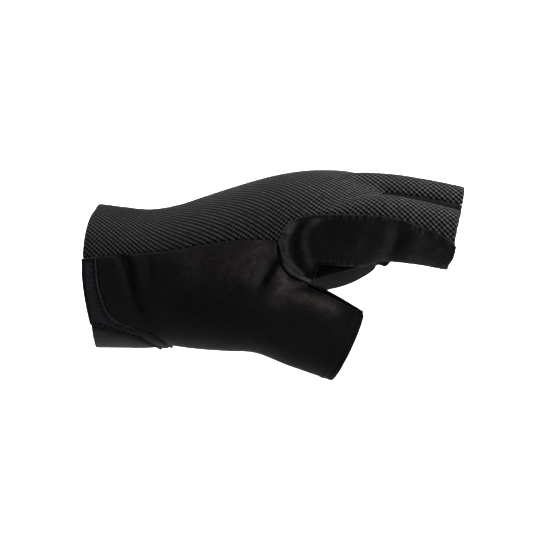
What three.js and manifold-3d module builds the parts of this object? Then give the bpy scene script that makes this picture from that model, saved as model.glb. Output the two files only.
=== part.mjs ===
// Half-finger glove for the left hand, worn form: fingers along +X, back of the hand
// up (+Z), thumb side towards -Y. The origin is the centre of the cuff opening.
import * as THREE from "three";
import { toCreasedNormals } from "three/addons/utils/BufferGeometryUtils.js";
import Module from "manifold-3d";

const wasm = await Module();
wasm.setup();

// Driving dimensions, mm unless a comment says otherwise.
const WALL = 1.3;           // thickness of the mesh and of the suede
const SEAM_GAP = 0.3;       // space left between two neighbouring panels
const HAND_SIDES = 32;      // facets round the hand
const THUMB_SIDES = 20;     // facets round the thumb
const FINGER_SIDES = 16;    // facets round a finger
const RING_STEP = 8.5;      // spacing of the rings along the hand, fingers and thumb
const ARCH_Y = -8;          // the knuckle arch is highest here
const SIDE_TILT = 17 * Math.PI / 180; // thumb-side seams are laid out looking down this much
const REACH = 54;           // seam cuts start this far out to the thumb side
const CUT_OUT = 6;          // seam cuts start this far outside the surface
const CUT_IN = 8;           // and end this far inside it
const HAND_EXTRA = 5;       // further out on the hand, where the thumb bulges over it
const EASING = 3;           // steps between two rows of a seam that follows the hand
const TWIST = 0.2;          // largest turn between two stations of a seam cut, radians
const CUFF_SKEW = 1.15;     // moves the foremost part of the cuff's edge to the back of the hand
const CREASE = 35;          // edges sharper than this look sharp, degrees
const OVERRUN = 12;         // hollows run this far past the cuff and the finger ends

// Hand, one row per section from cuff to finger webs: half breadth, height above and
// below the middle, corner squareness, knuckle arch, how much deeper the palm is on the
// little-finger side, and how far the sides of the cuff stand forward.
const HAND = [
  { x: 0.6, y: 0, z: 0, half: 32, top: 30.5, bottom: 30.6, square: 2.1, arch: 0, cant: 0, lean: 2.6 },
  { x: 12, y: 0, z: 0, half: 31.2, top: 29.1, bottom: 30.8, square: 2.1, arch: 0, cant: 0, lean: 1.2 },
  { x: 24, y: 0.5, z: 0, half: 31.8, top: 27.8, bottom: 30.8, square: 2.15, arch: 0.0005, cant: 0, lean: 0 },
  { x: 36, y: 1, z: 2, half: 34, top: 27.5, bottom: 31, square: 2.2, arch: 0.001, cant: 0.02, lean: 0 },
  { x: 48, y: 1.8, z: 6, half: 37, top: 27.4, bottom: 30.5, square: 2.3, arch: 0.002, cant: 0.1, lean: 0 },
  { x: 60, y: 2.4, z: 11, half: 40, top: 27, bottom: 29, square: 2.4, arch: 0.004, cant: 0.25, lean: 0 },
  { x: 74, y: 3, z: 17, half: 42.5, top: 26.2, bottom: 27, square: 2.5, arch: 0.007, cant: 0.42, lean: 0 },
  { x: 88, y: 3.2, z: 23, half: 43.5, top: 23.4, bottom: 25.3, square: 2.6, arch: 0.009, cant: 0.44, lean: 0 },
  { x: 100, y: 3.2, z: 27, half: 43.2, top: 20.2, bottom: 23.5, square: 2.7, arch: 0.0103, cant: 0.44, lean: 0 },
  { x: 111, y: 3, z: 30, half: 42, top: 16.3, bottom: 22.5, square: 2.8, arch: 0.0107, cant: 0.38, lean: 0 },
  { x: 120, y: 3, z: 31.5, half: 40, top: 11.2, bottom: 20.5, square: 2.7, arch: 0.0107, cant: 0.34, lean: 0 },
];

// Folds in the cloth of the hand: each runs from one x and turn to another.
const FOLDS = [
  { x: 14.5, turn: 54, toX: 25, toTurn: 118, deep: 1.4, wide: 2.6 },
  { x: 23.5, turn: 56, toX: 26.5, toTurn: 84, deep: 0.7, wide: 2.4 },
  { x: 82, turn: 78, toX: 72, toTurn: 112, deep: 1.1, wide: 4 },
];
const FOLD_RINGS = [12, 15, 18, 21, 24.5, 28]; // extra rings where the wrist folds lie

// Tubes, one row per section: middle of the section, half breadth and half height.
const TUBES = {
  index: [
    { x: 92, y: -26.5, z: 26.5, half: 10.8, high: 12 },
    { x: 108, y: -29, z: 29.5, half: 11.3, high: 14 },
    { x: 124, y: -30.6, z: 29.9, half: 11, high: 14 },
    { x: 138, y: -31.8, z: 28.2, half: 10.8, high: 13.4 },
    { x: 152, y: -33, z: 25.4, half: 10.6, high: 12.8 },
  ],
  middle: [
    { x: 92, y: -7, z: 30, half: 10.6, high: 12 },
    { x: 108, y: -7.4, z: 34, half: 11, high: 13 },
    { x: 124, y: -7.8, z: 34.1, half: 11, high: 13 },
    { x: 140, y: -8.2, z: 32, half: 10.9, high: 12.8 },
    { x: 155.5, y: -8.6, z: 28.9, half: 10.7, high: 12.8 },
  ],
  ring: [
    { x: 92, y: 13, z: 25.5, half: 10.4, high: 12 },
    { x: 108, y: 14, z: 28, half: 10.7, high: 12.6 },
    { x: 122, y: 14.8, z: 27, half: 10.6, high: 12.4 },
    { x: 136, y: 15.4, z: 23.5, half: 10.4, high: 12.2 },
    { x: 148, y: 15.8, z: 19.5, half: 10.3, high: 12 },
  ],
  little: [
    { x: 88, y: 31.5, z: 14, half: 9.6, high: 11 },
    { x: 102, y: 33.5, z: 13.6, half: 9.8, high: 11.2 },
    { x: 115, y: 35.6, z: 9.2, half: 9.6, high: 11 },
    { x: 130, y: 37.2, z: 3, half: 9.5, high: 10.8 },
  ],
  thumb: [
    { x: 22, y: -9, z: -5, half: 17, high: 20 },
    { x: 40, y: -16, z: -5.5, half: 17.4, high: 21 },
    { x: 58, y: -23, z: -6, half: 17.4, high: 20 },
    { x: 74, y: -26.2, z: -8.8, half: 16.8, high: 17.4 },
    { x: 90, y: -27, z: -14.6, half: 15.5, high: 17.2 },
    { x: 108.5, y: -27.3, z: -22.9, half: 14.4, high: 15.6 },
  ],
};

// Seams on the thumb side, in mm along X and up the tilted side view.
const MESH_SEAM = [
  { x: -12, w: 6.4, y: -12 }, { x: -2.5, w: 7.4, y: -12 }, { x: 13, w: 9, y: -12 },
  { x: 31, w: 10.3, y: -12 }, { x: 45, w: 12.6, y: -14 }, { x: 61, w: 15, y: -18 },
  { x: 74, w: 15, y: -22 }, { x: 79.4, w: 14.9, y: -22 }, { x: 81, w: 19.1, y: -24 },
  { x: 84, w: 22.5, y: -24 }, { x: 89, w: 24.4, y: -24 }, { x: 96, w: 25.4, y: -26 },
  { x: 115.5, w: 25.2, y: -29 }, { x: 128, w: 23.7, y: -30 }, { x: 141, w: 19.3, y: -31 },
  { x: 147.4, w: 16.4, y: -32 }, { x: 151.4, w: 13.2, y: -33 }, { x: 158, w: 8, y: -33 },
];
const THUMB_CREASE = [
  { x: 79, w: 15.4, y: -20 }, { x: 79.1, w: 8.6, y: -20 }, { x: 80.5, w: 4.1, y: -20 },
  { x: 82.6, w: 1, y: -22 },
];
const INDEX_UNDER_SEAM = [
  { x: 79.6, w: 4.5, y: -18 }, { x: 88, w: 4.3, y: -18 }, { x: 95, w: 4.2, y: -22 },
  { x: 105, w: 4.5, y: -31 }, { x: 112, w: 5.6, y: -31 }, { x: 118, w: 8.2, y: -32 },
  { x: 125, w: 8.2, y: -33 }, { x: 132, w: 7.6, y: -34 }, { x: 138.6, w: 6.4, y: -34.5 },
  { x: 145.3, w: 5.2, y: -35 }, { x: 160, w: 2.6, y: -35.5 },
];

// Seams that follow a tube: x along it and the turn round it, degrees, 0 at the back
// of the hand, 90 at the thumb side, 180 at the palm; out is how far outside it starts.
const THUMB_TOP_SEAM = [
  { x: 84.2, turn: 30, out: 1.5 }, { x: 90, turn: 12, out: 3 }, { x: 96, turn: -2, out: 4 },
  { x: 104, turn: -8, out: 4 }, { x: 122, turn: -10, out: 4 },
];
const THUMB_UNDER_SEAM = [
  { x: 62, turn: 185 }, { x: 76, turn: 188 }, { x: 92, turn: 190 }, { x: 120, turn: 190 },
];
const LITTLE_SEAM = [
  { x: 104, turn: 262 }, { x: 114, turn: 268 }, { x: 140, turn: 268 },
];

// Seams that follow the hand, same turn.
const PALM_SEAM = [
  { x: 44, turn: 168 }, { x: 52, turn: 174 },
];
const OUTER_SEAM = [
  { x: -12, turn: 302 }, { x: 10, turn: 298 }, { x: 26, turn: 288 }, { x: 50, turn: 275 },
  { x: 80, turn: 264 },
];
const BAND_INNER = [
  { x: 5.4, turn: 57 }, { x: 5.8, turn: 76 }, { x: 6.3, turn: 85 }, { x: 7.2, turn: 94.5 },
  { x: 8, turn: 101 }, { x: 10, turn: 108 }, { x: 18.5, turn: 117.5 }, { x: 27, turn: 128 },
  { x: 35, turn: 139 }, { x: 43, turn: 155 }, { x: 48.5, turn: 180 },
];
const BAND_OUTER = [
  { x: -12, turn: 112 }, { x: 1.3, turn: 114.5 }, { x: 8, turn: 120 }, { x: 14.3, turn: 127 },
  { x: 21.8, turn: 138 }, { x: 28, turn: 152 }, { x: 34, turn: 166 }, { x: 38, turn: 180 },
];

// Fourchettes: the strip's upper and lower edge, mm above and below the fingers' middle.
const FOURCHETTES = [
  { name: "fourchette_index_middle", near: "index", far: "middle", start: 108, up: 4.2, down: 5 },
  { name: "fourchette_middle_ring", near: "middle", far: "ring", start: 108, up: 4.2, down: 5 },
  { name: "fourchette_ring_little", near: "ring", far: "little", start: 98, up: 4, down: 4.6 },
];

// Finished pieces: a point that each one passes through, and its cloth.
const PANELS = [
  { name: "back_panel", at: [60, 0, 38], color: "#2e2d2d", roughness: 0.85 },
  { name: "thumb_panel", at: [60, -41, -6], color: "#1d1b1a", roughness: 0.95 },
  { name: "index_side_panel", at: [110, -41, 26], color: "#1c1a1a", roughness: 0.95 },
  { name: "palm_panel", at: [80, 25, -18], color: "#282524", roughness: 0.95 },
  { name: "fourchette_index_middle", at: [138, -20, 30], color: "#29272d", roughness: 0.7 },
  { name: "fourchette_middle_ring", at: [138, 4, 27], color: "#29272d", roughness: 0.7 },
  { name: "fourchette_ring_little", at: [128, 26, 14], color: "#29272d", roughness: 0.7 },
  { name: "cuff_binding", at: [3, -32, -4], color: "#212127", roughness: 0.7 },
  { name: "wrist_gusset", at: [12, 0, -31], color: "#322e2d", roughness: 0.95 },
];

const radians = THREE.MathUtils.degToRad;

// Smooth value of one column at x, through the rows.
function column(rows, key, x) {
  const last = rows.length - 1;
  let i = 0;
  while (i < last - 1 && x > rows[i + 1].x) i += 1;
  const slope = (k) => {
    const a = rows[Math.max(k - 1, 0)];
    const b = rows[Math.min(k + 1, last)];
    return (b[key] - a[key]) / (b.x - a.x);
  };
  const p = rows[i];
  const q = rows[i + 1];
  if (x <= p.x) return p[key] + slope(i) * (x - p.x);
  if (x >= q.x) return q[key] + slope(i + 1) * (x - q.x);
  const span = q.x - p.x;
  const t = (x - p.x) / span;
  const s = 1 - t;
  return p[key] * s * s * (1 + 2 * t) + slope(i) * span * t * s * s
    + q[key] * t * t * (3 - 2 * t) - slope(i + 1) * span * t * t * s;
}

const power = (value, exponent) => Math.sign(value) * Math.abs(value) ** exponent;

// How far the cuff's edge stands forward at a turn, as a share of its lean.
function leaning(turn) {
  const side = Math.abs(Math.sin(turn));
  return side * side + CUFF_SKEW * side * Math.cos(turn);
}

// Depth of the folds at a point of the hand.
function folded(x, turn) {
  return FOLDS.reduce((sum, fold) => {
    const along = (turn - radians(fold.turn)) / radians(fold.toTurn - fold.turn);
    const off = (x - THREE.MathUtils.lerp(fold.x, fold.toX, along)) / fold.wide;
    const fadeIn = THREE.MathUtils.smoothstep(along, -0.25, 0.15);
    const fadeOut = 1 - THREE.MathUtils.smoothstep(along, 0.7, 1.15);
    return sum + fold.deep * fadeIn * fadeOut * Math.exp(-off * off);
  }, 0);
}

// One ring of the hand at x, drawn in by inset.
function handRing(x, inset) {
  const at = (key) => column(HAND, key, Math.min(Math.max(x, HAND[0].x), HAND.at(-1).x));
  const exponent = 2 / at("square");
  const lean = at("lean");
  const ring = [];
  for (let i = 0; i < HAND_SIDES; i += 1) {
    const turn = 2 * Math.PI * i / HAND_SIDES;
    const across = -power(Math.sin(turn), exponent);
    const high = Math.cos(turn) > 0 ? at("top") : at("bottom") * (1 + at("cant") * across);
    const drawn = inset + folded(x, turn);
    const y = at("y") + (at("half") - drawn) * across;
    const arched = at("z") - at("arch") * (y - ARCH_Y) ** 2;
    const z = arched + (high - drawn) * power(Math.cos(turn), exponent);
    ring.push(new THREE.Vector3(x - lean * leaning(turn), y, z));
  }
  return ring;
}

// Middle of a tube at x with its along, across and up directions.
function tubeFrame(rows, x) {
  const axis = (at) => new THREE.Vector3(at, column(rows, "y", at), column(rows, "z", at));
  const middle = axis(x);
  const along = axis(x + 1).sub(axis(x - 1)).normalize();
  const up = new THREE.Vector3(0, 0, 1).addScaledVector(along, -along.z).normalize();
  return { middle, along, up, across: up.clone().cross(along) };
}

function tubePoint(rows, x, turn, inset) {
  const { middle, up, across } = tubeFrame(rows, x);
  const last = rows.at(-1).x;
  const half = column(rows, "half", Math.min(x, last)) - inset;
  const high = column(rows, "high", Math.min(x, last)) - inset;
  return middle.addScaledVector(across, -half * Math.sin(turn)).addScaledVector(up, high * Math.cos(turn));
}

function tubeRing(rows, x, sides, inset) {
  return Array.from({ length: sides }, (_, i) => tubePoint(rows, x, 2 * Math.PI * i / sides, inset));
}

// Closed solid from rings of points, each ring with the same number of points.
function loft(rings) {
  const sides = rings[0].length;
  const points = rings.flat();
  const triangles = [];
  for (let r = 0; r + 1 < rings.length; r += 1) {
    for (let i = 0; i < sides; i += 1) {
      const j = (i + 1) % sides;
      const [a, b, c, d] = [r * sides + i, r * sides + j, (r + 1) * sides + j, (r + 1) * sides + i];
      triangles.push(a, b, c, a, c, d);
    }
  }
  for (const [r, first] of [[0, true], [rings.length - 1, false]]) {
    const centre = new THREE.Vector3();
    rings[r].forEach((p) => centre.addScaledVector(p, 1 / sides));
    const hub = points.push(centre) - 1;
    for (let i = 0; i < sides; i += 1) {
      const [a, b] = [r * sides + i, r * sides + (i + 1) % sides];
      triangles.push(...(first ? [hub, b, a] : [hub, a, b]));
    }
  }
  return solid(points, triangles);
}

// Solid from points and triangles, turned right side out.
function solid(points, triangles) {
  let volume = 0;
  for (let k = 0; k < triangles.length; k += 3) {
    const [a, b, c] = [0, 1, 2].map((n) => points[triangles[k + n]]);
    volume += a.dot(b.clone().cross(c));
  }
  const order = volume > 0 ? triangles : triangles.map((_, k) => triangles[k + [0, 1, -1][k % 3]]);
  return new wasm.Manifold(new wasm.Mesh({
    numProp: 3,
    vertProperties: new Float32Array(points.flatMap((p) => p.toArray())),
    triVerts: new Uint32Array(order),
  }));
}

// Positions from start to end, about RING_STEP apart.
function steps(start, end) {
  const count = Math.ceil((end - start) / RING_STEP);
  return Array.from({ length: count + 1 }, (_, i) => start + (end - start) * i / count);
}

function handSolid(inset) {
  const end = HAND.at(-1).x - inset;
  const stations = [HAND[0].x, ...FOLD_RINGS, ...steps(FOLD_RINGS.at(-1), end).slice(1)];
  if (inset > 0) stations.unshift(-OVERRUN);
  return loft(stations.map((x) => handRing(x, inset)));
}

function tubeSolid(rows, sides, inset) {
  const stations = steps(rows[0].x + inset, rows.at(-1).x);
  if (inset > 0) stations.push(rows.at(-1).x + OVERRUN);
  return loft(stations.map((x) => tubeRing(rows, x, sides, inset)));
}

function whole(inset) {
  let body = handSolid(inset);
  for (const [name, rows] of Object.entries(TUBES)) {
    const sides = name === "thumb" ? THUMB_SIDES : FINGER_SIDES;
    body = body.add(tubeSolid(rows, sides, inset));
  }
  return body;
}

// In-between stations wherever two neighbours point in different directions.
function filled(stations) {
  return stations.flatMap(([outer, inner], i) => {
    if (i === stations.length - 1) return [[outer, inner]];
    const [nextOuter, nextInner] = stations[i + 1];
    const turn = inner.clone().sub(outer).angleTo(nextInner.clone().sub(nextOuter));
    const count = Math.max(1, Math.ceil(turn / TWIST));
    return Array.from({ length: count }, (_, k) => [
      outer.clone().lerp(nextOuter, k / count),
      inner.clone().lerp(nextInner, k / count),
    ]);
  });
}

// Thin cut through the wall along a seam: each station has an outer and an inner point.
function seamCut(rough) {
  const stations = filled(rough);
  const last = stations.length - 1;
  const points = stations.flatMap(([outer, inner], i) => {
    const before = stations[Math.max(i - 1, 0)][0];
    const after = stations[Math.min(i + 1, last)][0];
    const side = after.clone().sub(before).cross(inner.clone().sub(outer)).setLength(SEAM_GAP / 2);
    return [
      outer.clone().add(side), inner.clone().add(side),
      inner.clone().sub(side), outer.clone().sub(side),
    ];
  });
  const triangles = [0, 3, 2, 0, 2, 1];
  for (let a = 0; a < 4 * last; a += 4) {
    const wall = [0, 1, 5, 0, 5, 4, 3, 6, 2, 3, 7, 6, 0, 4, 7, 0, 7, 3, 1, 2, 6, 1, 6, 5];
    triangles.push(...wall.map((k) => a + k));
  }
  triangles.push(...[0, 2, 3, 0, 1, 2].map((k) => 4 * last + k));
  return solid(points, triangles);
}

// Stations of a seam given in the tilted side view, reaching in to y.
function sideStations(rows) {
  return rows.map(({ x, w, y }) => [-REACH, y].map((depth) => {
    return new THREE.Vector3(x, depth, (w - depth * Math.sin(SIDE_TILT)) / Math.cos(SIDE_TILT));
  }));
}

// Stations of a seam that follows a tube.
function tubeStations(rows, seam) {
  return seam.map(({ x, turn, out = CUT_OUT }) => [
    tubePoint(rows, x, radians(turn), -out),
    tubePoint(rows, x, radians(turn), CUT_IN),
  ]);
}

// Stations of a seam that follows the hand, eased through its rows.
function handStations(seam) {
  const eased = new THREE.CatmullRomCurve3(seam.map(({ x, turn }) => new THREE.Vector3(x, turn, 0)));
  return eased.getPoints(EASING * (seam.length - 1)).map(({ x, y: turn }) => {
    const at = (key) => column(HAND, key, Math.max(x, HAND[0].x));
    const ahead = x - at("lean") * leaning(radians(turn));
    return [CUT_OUT + HAND_EXTRA, -CUT_IN].map((out) => new THREE.Vector3(
      ahead,
      at("y") - (at("half") + out) * Math.sin(radians(turn)),
      at("z") + (at("bottom") + out) * Math.cos(radians(turn)),
    ));
  });
}

// The band seam from the thumb side, mirrored to the outer side of the wrist.
function bandStations(rows) {
  const mirrored = rows.slice(0, -1).reverse().map(({ x, turn }) => ({ x, turn: 360 - turn }));
  return [...rows, ...mirrored];
}

function fourchetteCuts({ near, far, start, up, down }) {
  const end = Math.max(TUBES[near].at(-1).x, TUBES[far].at(-1).x) + OVERRUN;
  return [up, -down].map((offset) => seamCut(steps(start, end).map((x) => {
    return [near, far].map((name) => {
      const rows = TUBES[name];
      const here = Math.min(x, rows.at(-1).x + OVERRUN);
      return new THREE.Vector3(x, column(rows, "y", here), column(rows, "z", here) + offset);
    });
  })));
}

const cuts = [
  seamCut(sideStations(MESH_SEAM)),
  seamCut([...sideStations(THUMB_CREASE), ...tubeStations(TUBES.thumb, THUMB_TOP_SEAM)]),
  seamCut(sideStations(INDEX_UNDER_SEAM)),
  seamCut([...handStations(PALM_SEAM), ...tubeStations(TUBES.thumb, THUMB_UNDER_SEAM)]),
  seamCut([...handStations(OUTER_SEAM), ...tubeStations(TUBES.little, LITTLE_SEAM)]),
  seamCut(handStations(bandStations(BAND_INNER))),
  seamCut(handStations(bandStations(BAND_OUTER))),
  ...FOURCHETTES.flatMap(fourchetteCuts),
];
const panels = cuts.reduce((body, cut) => body.subtract(cut), whole(0).subtract(whole(WALL)));

// Separate bodies of a solid, each as a plain list of triangle corners.
function bodies(manifold) {
  const mesh = manifold.getMesh();
  const owner = Array.from({ length: mesh.vertProperties.length / mesh.numProp }, (_, i) => i);
  const root = (i) => {
    while (owner[i] !== i) {
      owner[i] = owner[owner[i]];
      i = owner[i];
    }
    return i;
  };
  for (let k = 0; k < mesh.triVerts.length; k += 3) {
    owner[root(mesh.triVerts[k + 1])] = root(mesh.triVerts[k]);
    owner[root(mesh.triVerts[k + 2])] = root(mesh.triVerts[k]);
  }
  const groups = new Map();
  mesh.triVerts.forEach((vertex) => {
    const key = root(vertex);
    if (!groups.has(key)) groups.set(key, []);
    const at = vertex * mesh.numProp;
    groups.get(key).push(...mesh.vertProperties.slice(at, at + 3));
  });
  return [...groups.values()].sort((a, b) => b.length - a.length);
}

// The body with a corner nearest to a point.
function nearest(parts, point) {
  const distance = (corners) => {
    let best = Infinity;
    for (let k = 0; k < corners.length; k += 3) {
      const [x, y, z] = corners.slice(k, k + 3);
      best = Math.min(best, (x - point[0]) ** 2 + (y - point[1]) ** 2 + (z - point[2]) ** 2);
    }
    return best;
  };
  const far = parts.map(distance);
  return parts[far.indexOf(Math.min(...far))];
}

function panelMesh({ name, at, color, roughness }, parts) {
  const geometry = new THREE.BufferGeometry();
  geometry.setAttribute("position", new THREE.Float32BufferAttribute(nearest(parts, at), 3));
  const shaded = toCreasedNormals(geometry, radians(CREASE));
  const cloth = new THREE.MeshStandardMaterial({ color, roughness, metalness: 0 });
  const mesh = new THREE.Mesh(shaded, cloth);
  mesh.name = name;
  return mesh;
}

const parts = bodies(panels);
const glove = new THREE.Group();
glove.name = "half_finger_glove";
PANELS.forEach((panel) => glove.add(panelMesh(panel, parts)));

export default glove;
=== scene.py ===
import itertools
import math

import bpy
import numpy as np
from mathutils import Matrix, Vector
from mathutils.kdtree import KDTree


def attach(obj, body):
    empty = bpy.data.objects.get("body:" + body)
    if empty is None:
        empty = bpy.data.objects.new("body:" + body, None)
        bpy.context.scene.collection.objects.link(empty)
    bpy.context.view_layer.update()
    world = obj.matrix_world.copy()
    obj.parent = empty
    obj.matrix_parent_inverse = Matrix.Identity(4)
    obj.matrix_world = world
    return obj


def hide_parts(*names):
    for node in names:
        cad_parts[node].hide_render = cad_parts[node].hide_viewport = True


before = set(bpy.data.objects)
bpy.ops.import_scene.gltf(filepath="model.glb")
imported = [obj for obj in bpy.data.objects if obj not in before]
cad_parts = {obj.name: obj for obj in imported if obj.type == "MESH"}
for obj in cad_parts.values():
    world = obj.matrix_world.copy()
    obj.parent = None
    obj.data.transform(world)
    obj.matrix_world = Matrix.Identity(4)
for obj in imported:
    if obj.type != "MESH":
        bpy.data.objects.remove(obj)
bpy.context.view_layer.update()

# Half-finger glove for the left hand in worn form. Sizes are in millimetres in the glove's own
# frame: fingers along +X, back of the hand up, thumb side towards -Y, cuff opening at the origin.
MM = 0.001
STEP = 0.8                     # spacing of the surface mesh
ROOM = ((-9.0, -50.0, -44.0), (166.0, 53.0, 54.0))  # the glove lies between these corners
WALL = 1.3                     # thickness of the cloth
SEAM = 0.04                    # each panel stops this far from its seam line
SIDE_TILT = math.radians(17)   # the thumb side is laid out looking down this much
ARCH_Y = -8.0                  # the knuckle arch is highest here
CUFF_SKEW = 1.6                # moves the foremost part of the cuff's edge to the back of the hand
CUFF_FAR_SKEW = 0.3            # the same on the little-finger side
CUFF_PALM = -0.47              # past this cosine of the turn the palm side doesn't stand further back
CUFF_DIP = 0.7                 # how far the edge stands back at the middle of the back
CUFF_DIP_POWER = 12            # the larger, the narrower that dip
CUFF_END = 0.6                 # station of the cuff's edge
WEB_END = 122.3                # the palm ends here between the fingers
WEB_ROUND = 5.0                # softness of that end
NEAR = 16.0                    # a tube is looked at from this far and twice as far to its sides
HEM = 0.6                      # radius of the turned edge at every opening
HEM_TURN = 2.9                 # how far that edge turns in, in radians
HEM_TUCK = 0.25                # the lining follows the cloth in the turn by this share
INDEX_BULGE = 1.25             # the index finger's end stands forward this much below its middle
BULGE_AT = -2.0                # height of that bulge from the finger's middle
BULGE_HALF = 5.5
LEAST_RATIO = 0.02             # limits that keep the middle of a section from dividing by nothing
LEAST_SLOPE = 0.005


def table(columns, *rows):
    """Named columns of a short table."""
    return dict(zip(columns.split(), np.array(rows, float).T))


# Hand, one row per section from cuff to finger webs: half breadth, height above and below the
# middle, corner squareness, knuckle arch, how much deeper the palm is on the little-finger side,
# and how far the sides of the cuff stand forward.
HAND = table(
    "x y z half top bottom square arch cant lean",
    (0.6, 0, 0, 32, 30.5, 30.6, 2.1, 0, 0, 2.6),
    (12, 0, 0, 31.2, 29.1, 30.8, 2.1, 0, 0, 1.2),
    (24, 0.5, 0, 31.8, 27.8, 30.8, 2.15, 0.0005, 0, 0),
    (36, 1, 2, 34, 27.5, 31, 2.2, 0.001, 0.02, 0),
    (48, 1.8, 6, 37, 27.4, 30.5, 2.3, 0.002, 0.1, 0),
    (60, 2.4, 11, 40, 27, 29, 2.4, 0.004, 0.25, 0),
    (74, 3, 17, 42.5, 26.2, 27, 2.5, 0.007, 0.42, 0),
    (88, 3.2, 23, 43.5, 23.4, 25.3, 2.6, 0.009, 0.44, 0),
    (100, 3.2, 27, 43.2, 20.2, 23.7, 2.7, 0.0103, 0.45, 0),
    (111, 3, 30, 42, 16.3, 23.2, 2.8, 0.0107, 0.43, 0),
    (120, 3, 31.5, 40, 11.2, 21.6, 2.7, 0.0107, 0.4, 0),
)

# Tubes, one row per section: middle of the section, half breadth and half height.
TUBES = {
    "index": table(
        "x y z half high",
        (80, -24.5, 19.5, 9.5, 9.5), (92, -26.5, 25.5, 10.8, 10.6), (100, -27.8, 27.5, 11.1, 11.5),
        (108, -29, 29, 11.3, 12.9), (116, -29.9, 29.7, 11.2, 13.8), (124, -30.6, 29.9, 11, 14),
        (138, -31.8, 28.2, 10.8, 13.4), (152, -33, 25.4, 10.6, 12.8),
    ),
    "middle": table(
        "x y z half high",
        (92, -7, 30, 10.6, 12), (108, -7.4, 34, 11, 13), (124, -7.8, 34.1, 11, 13),
        (140, -8.2, 32, 10.9, 12.8), (155.5, -8.6, 28.9, 10.7, 12.8),
    ),
    "ring": table(
        "x y z half high",
        (92, 13, 25.5, 10.4, 12), (108, 14, 28, 10.7, 12.6), (122, 14.8, 27, 10.6, 12.4),
        (136, 15.4, 23.5, 10.4, 12.2), (148, 15.8, 19.5, 10.3, 12),
    ),
    "little": table(
        "x y z half high",
        (88, 31.5, 14, 9.6, 11), (102, 33.5, 13.6, 9.8, 11.2), (115, 35.6, 9.2, 9.6, 11),
        (130, 37.2, 3, 9.5, 10.8),
    ),
    "thumb": table(
        "x y z half high",
        (22, -9, -5, 17, 20), (40, -16, -5.5, 17.4, 21), (58, -23, -6, 17.4, 20),
        (74, -26.2, -8.6, 16.8, 17.6), (90, -27, -14.2, 15.5, 18.2), (108.5, -27.3, -22.9, 14.4, 16.4),
    ),
}
# The cloth that fills the root between index and middle finger, in the same columns.
SADDLE = table(
    "x y z half high",
    (88, -17, 29, 12, 12), (100, -18, 31.5, 13, 12), (108, -18.5, 32.4, 13.5, 12),
    (114, -18.8, 31.8, 13.5, 12), (119, -19, 30, 13.5, 12), (124, -19, 27, 13.5, 12),
    (130, -19, 23, 13.5, 12),
)
SADDLE_END = 126.0             # it ends here
SADDLE_ROUND = 8.0
SADDLE_BLEND = 3.0
# How widely each tube blends into the rest: across a corner, and everywhere.
FILLET = {"index": 2.0, "middle": 2.0, "ring": 2.0, "little": 2.5, "thumb": 5.0}
SOFT = {"index": 2.5, "middle": 1.5, "ring": 1.0, "little": 1.0, "thumb": 0.05}
FINGERS = ["index", "middle", "ring", "little"]
SAMPLES = np.arange(-60, 220, 0.25)  # stations at which the tables' columns are worked out once
sampled = {}


def smooth_column(knots, values, x):
    """Value at x on a smooth line through the rows, straight on past the first and last."""
    slopes = np.gradient(values) / np.gradient(knots)
    i = np.clip(np.searchsorted(knots, x) - 1, 0, len(knots) - 2)
    span = knots[i + 1] - knots[i]
    t = np.clip((x - knots[i]) / span, 0, 1)
    s = 1 - t
    inside = values[i] * s * s * (1 + 2 * t) + values[i + 1] * t * t * (3 - 2 * t)
    inside = inside + span * t * s * (slopes[i] * s - slopes[i + 1] * t)
    beyond = slopes[0] * np.minimum(x - knots[0], 0) + slopes[-1] * np.maximum(x - knots[-1], 0)
    return inside + beyond


def column(rows, key, x):
    """Smooth value of one column of a table at x."""
    name = (id(rows), key)
    if name not in sampled:
        sampled[name] = smooth_column(rows["x"], rows[key], SAMPLES)
    place = (np.asarray(x) - SAMPLES[0]) / (SAMPLES[1] - SAMPLES[0])
    i = np.clip(place.astype(np.int32), 0, len(SAMPLES) - 2)
    line = sampled[name]
    return line[i] + (line[i + 1] - line[i]) * (place - i)


def smoothstep(x, low, high):
    """0 up to low, 1 from high on, and smooth between."""
    t = np.clip((x - low) / (high - low), 0, 1)
    return t * t * (3 - 2 * t)


def hump(value, high, at, wide):
    """A soft hump of a height at a place, or a hollow where the height is below 0."""
    return high * np.exp(-(((value - at) / wide) ** 2))


def soft_union(first, second, size):
    """Smooth union of two distances, or their cut if size is below 0, and the first one's share."""
    share = np.clip(0.5 + 0.5 * (second - first) / size, 0, 1)
    return first * share + second * (1 - share) - size * share * (1 - share), share


def unit(v):
    """Vectors brought to length 1."""
    return v / np.maximum(np.linalg.norm(v, axis=1, keepdims=True), 1e-9)


def leaning(turn):
    """How far the cuff's edge stands forward at a turn, as a share of its lean."""
    side = np.abs(np.sin(turn))
    skew = np.where(np.sin(turn) > 0, CUFF_SKEW, CUFF_FAR_SKEW)
    back = np.maximum(np.cos(turn + SIDE_TILT), 0) ** CUFF_DIP_POWER
    return side * side + skew * side * np.maximum(np.cos(turn), CUFF_PALM) - CUFF_DIP * back


def hand_place(p):
    """Station along the hand and turn round it: 0 at the back, a quarter at the thumb side."""
    x = p[:, 0]
    across = (p[:, 1] - column(HAND, "y", x)) / column(HAND, "half", x)
    up = (p[:, 2] - column(HAND, "z", x)) / column(HAND, "bottom", x)
    turn = np.arctan2(-across, up) % (2 * math.pi)
    station = x
    for _ in range(2):
        lean = column(HAND, "lean", np.clip(station, CUFF_END, HAND["x"][-1]))
        station = x + lean * leaning(turn)
    return station, turn


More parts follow.
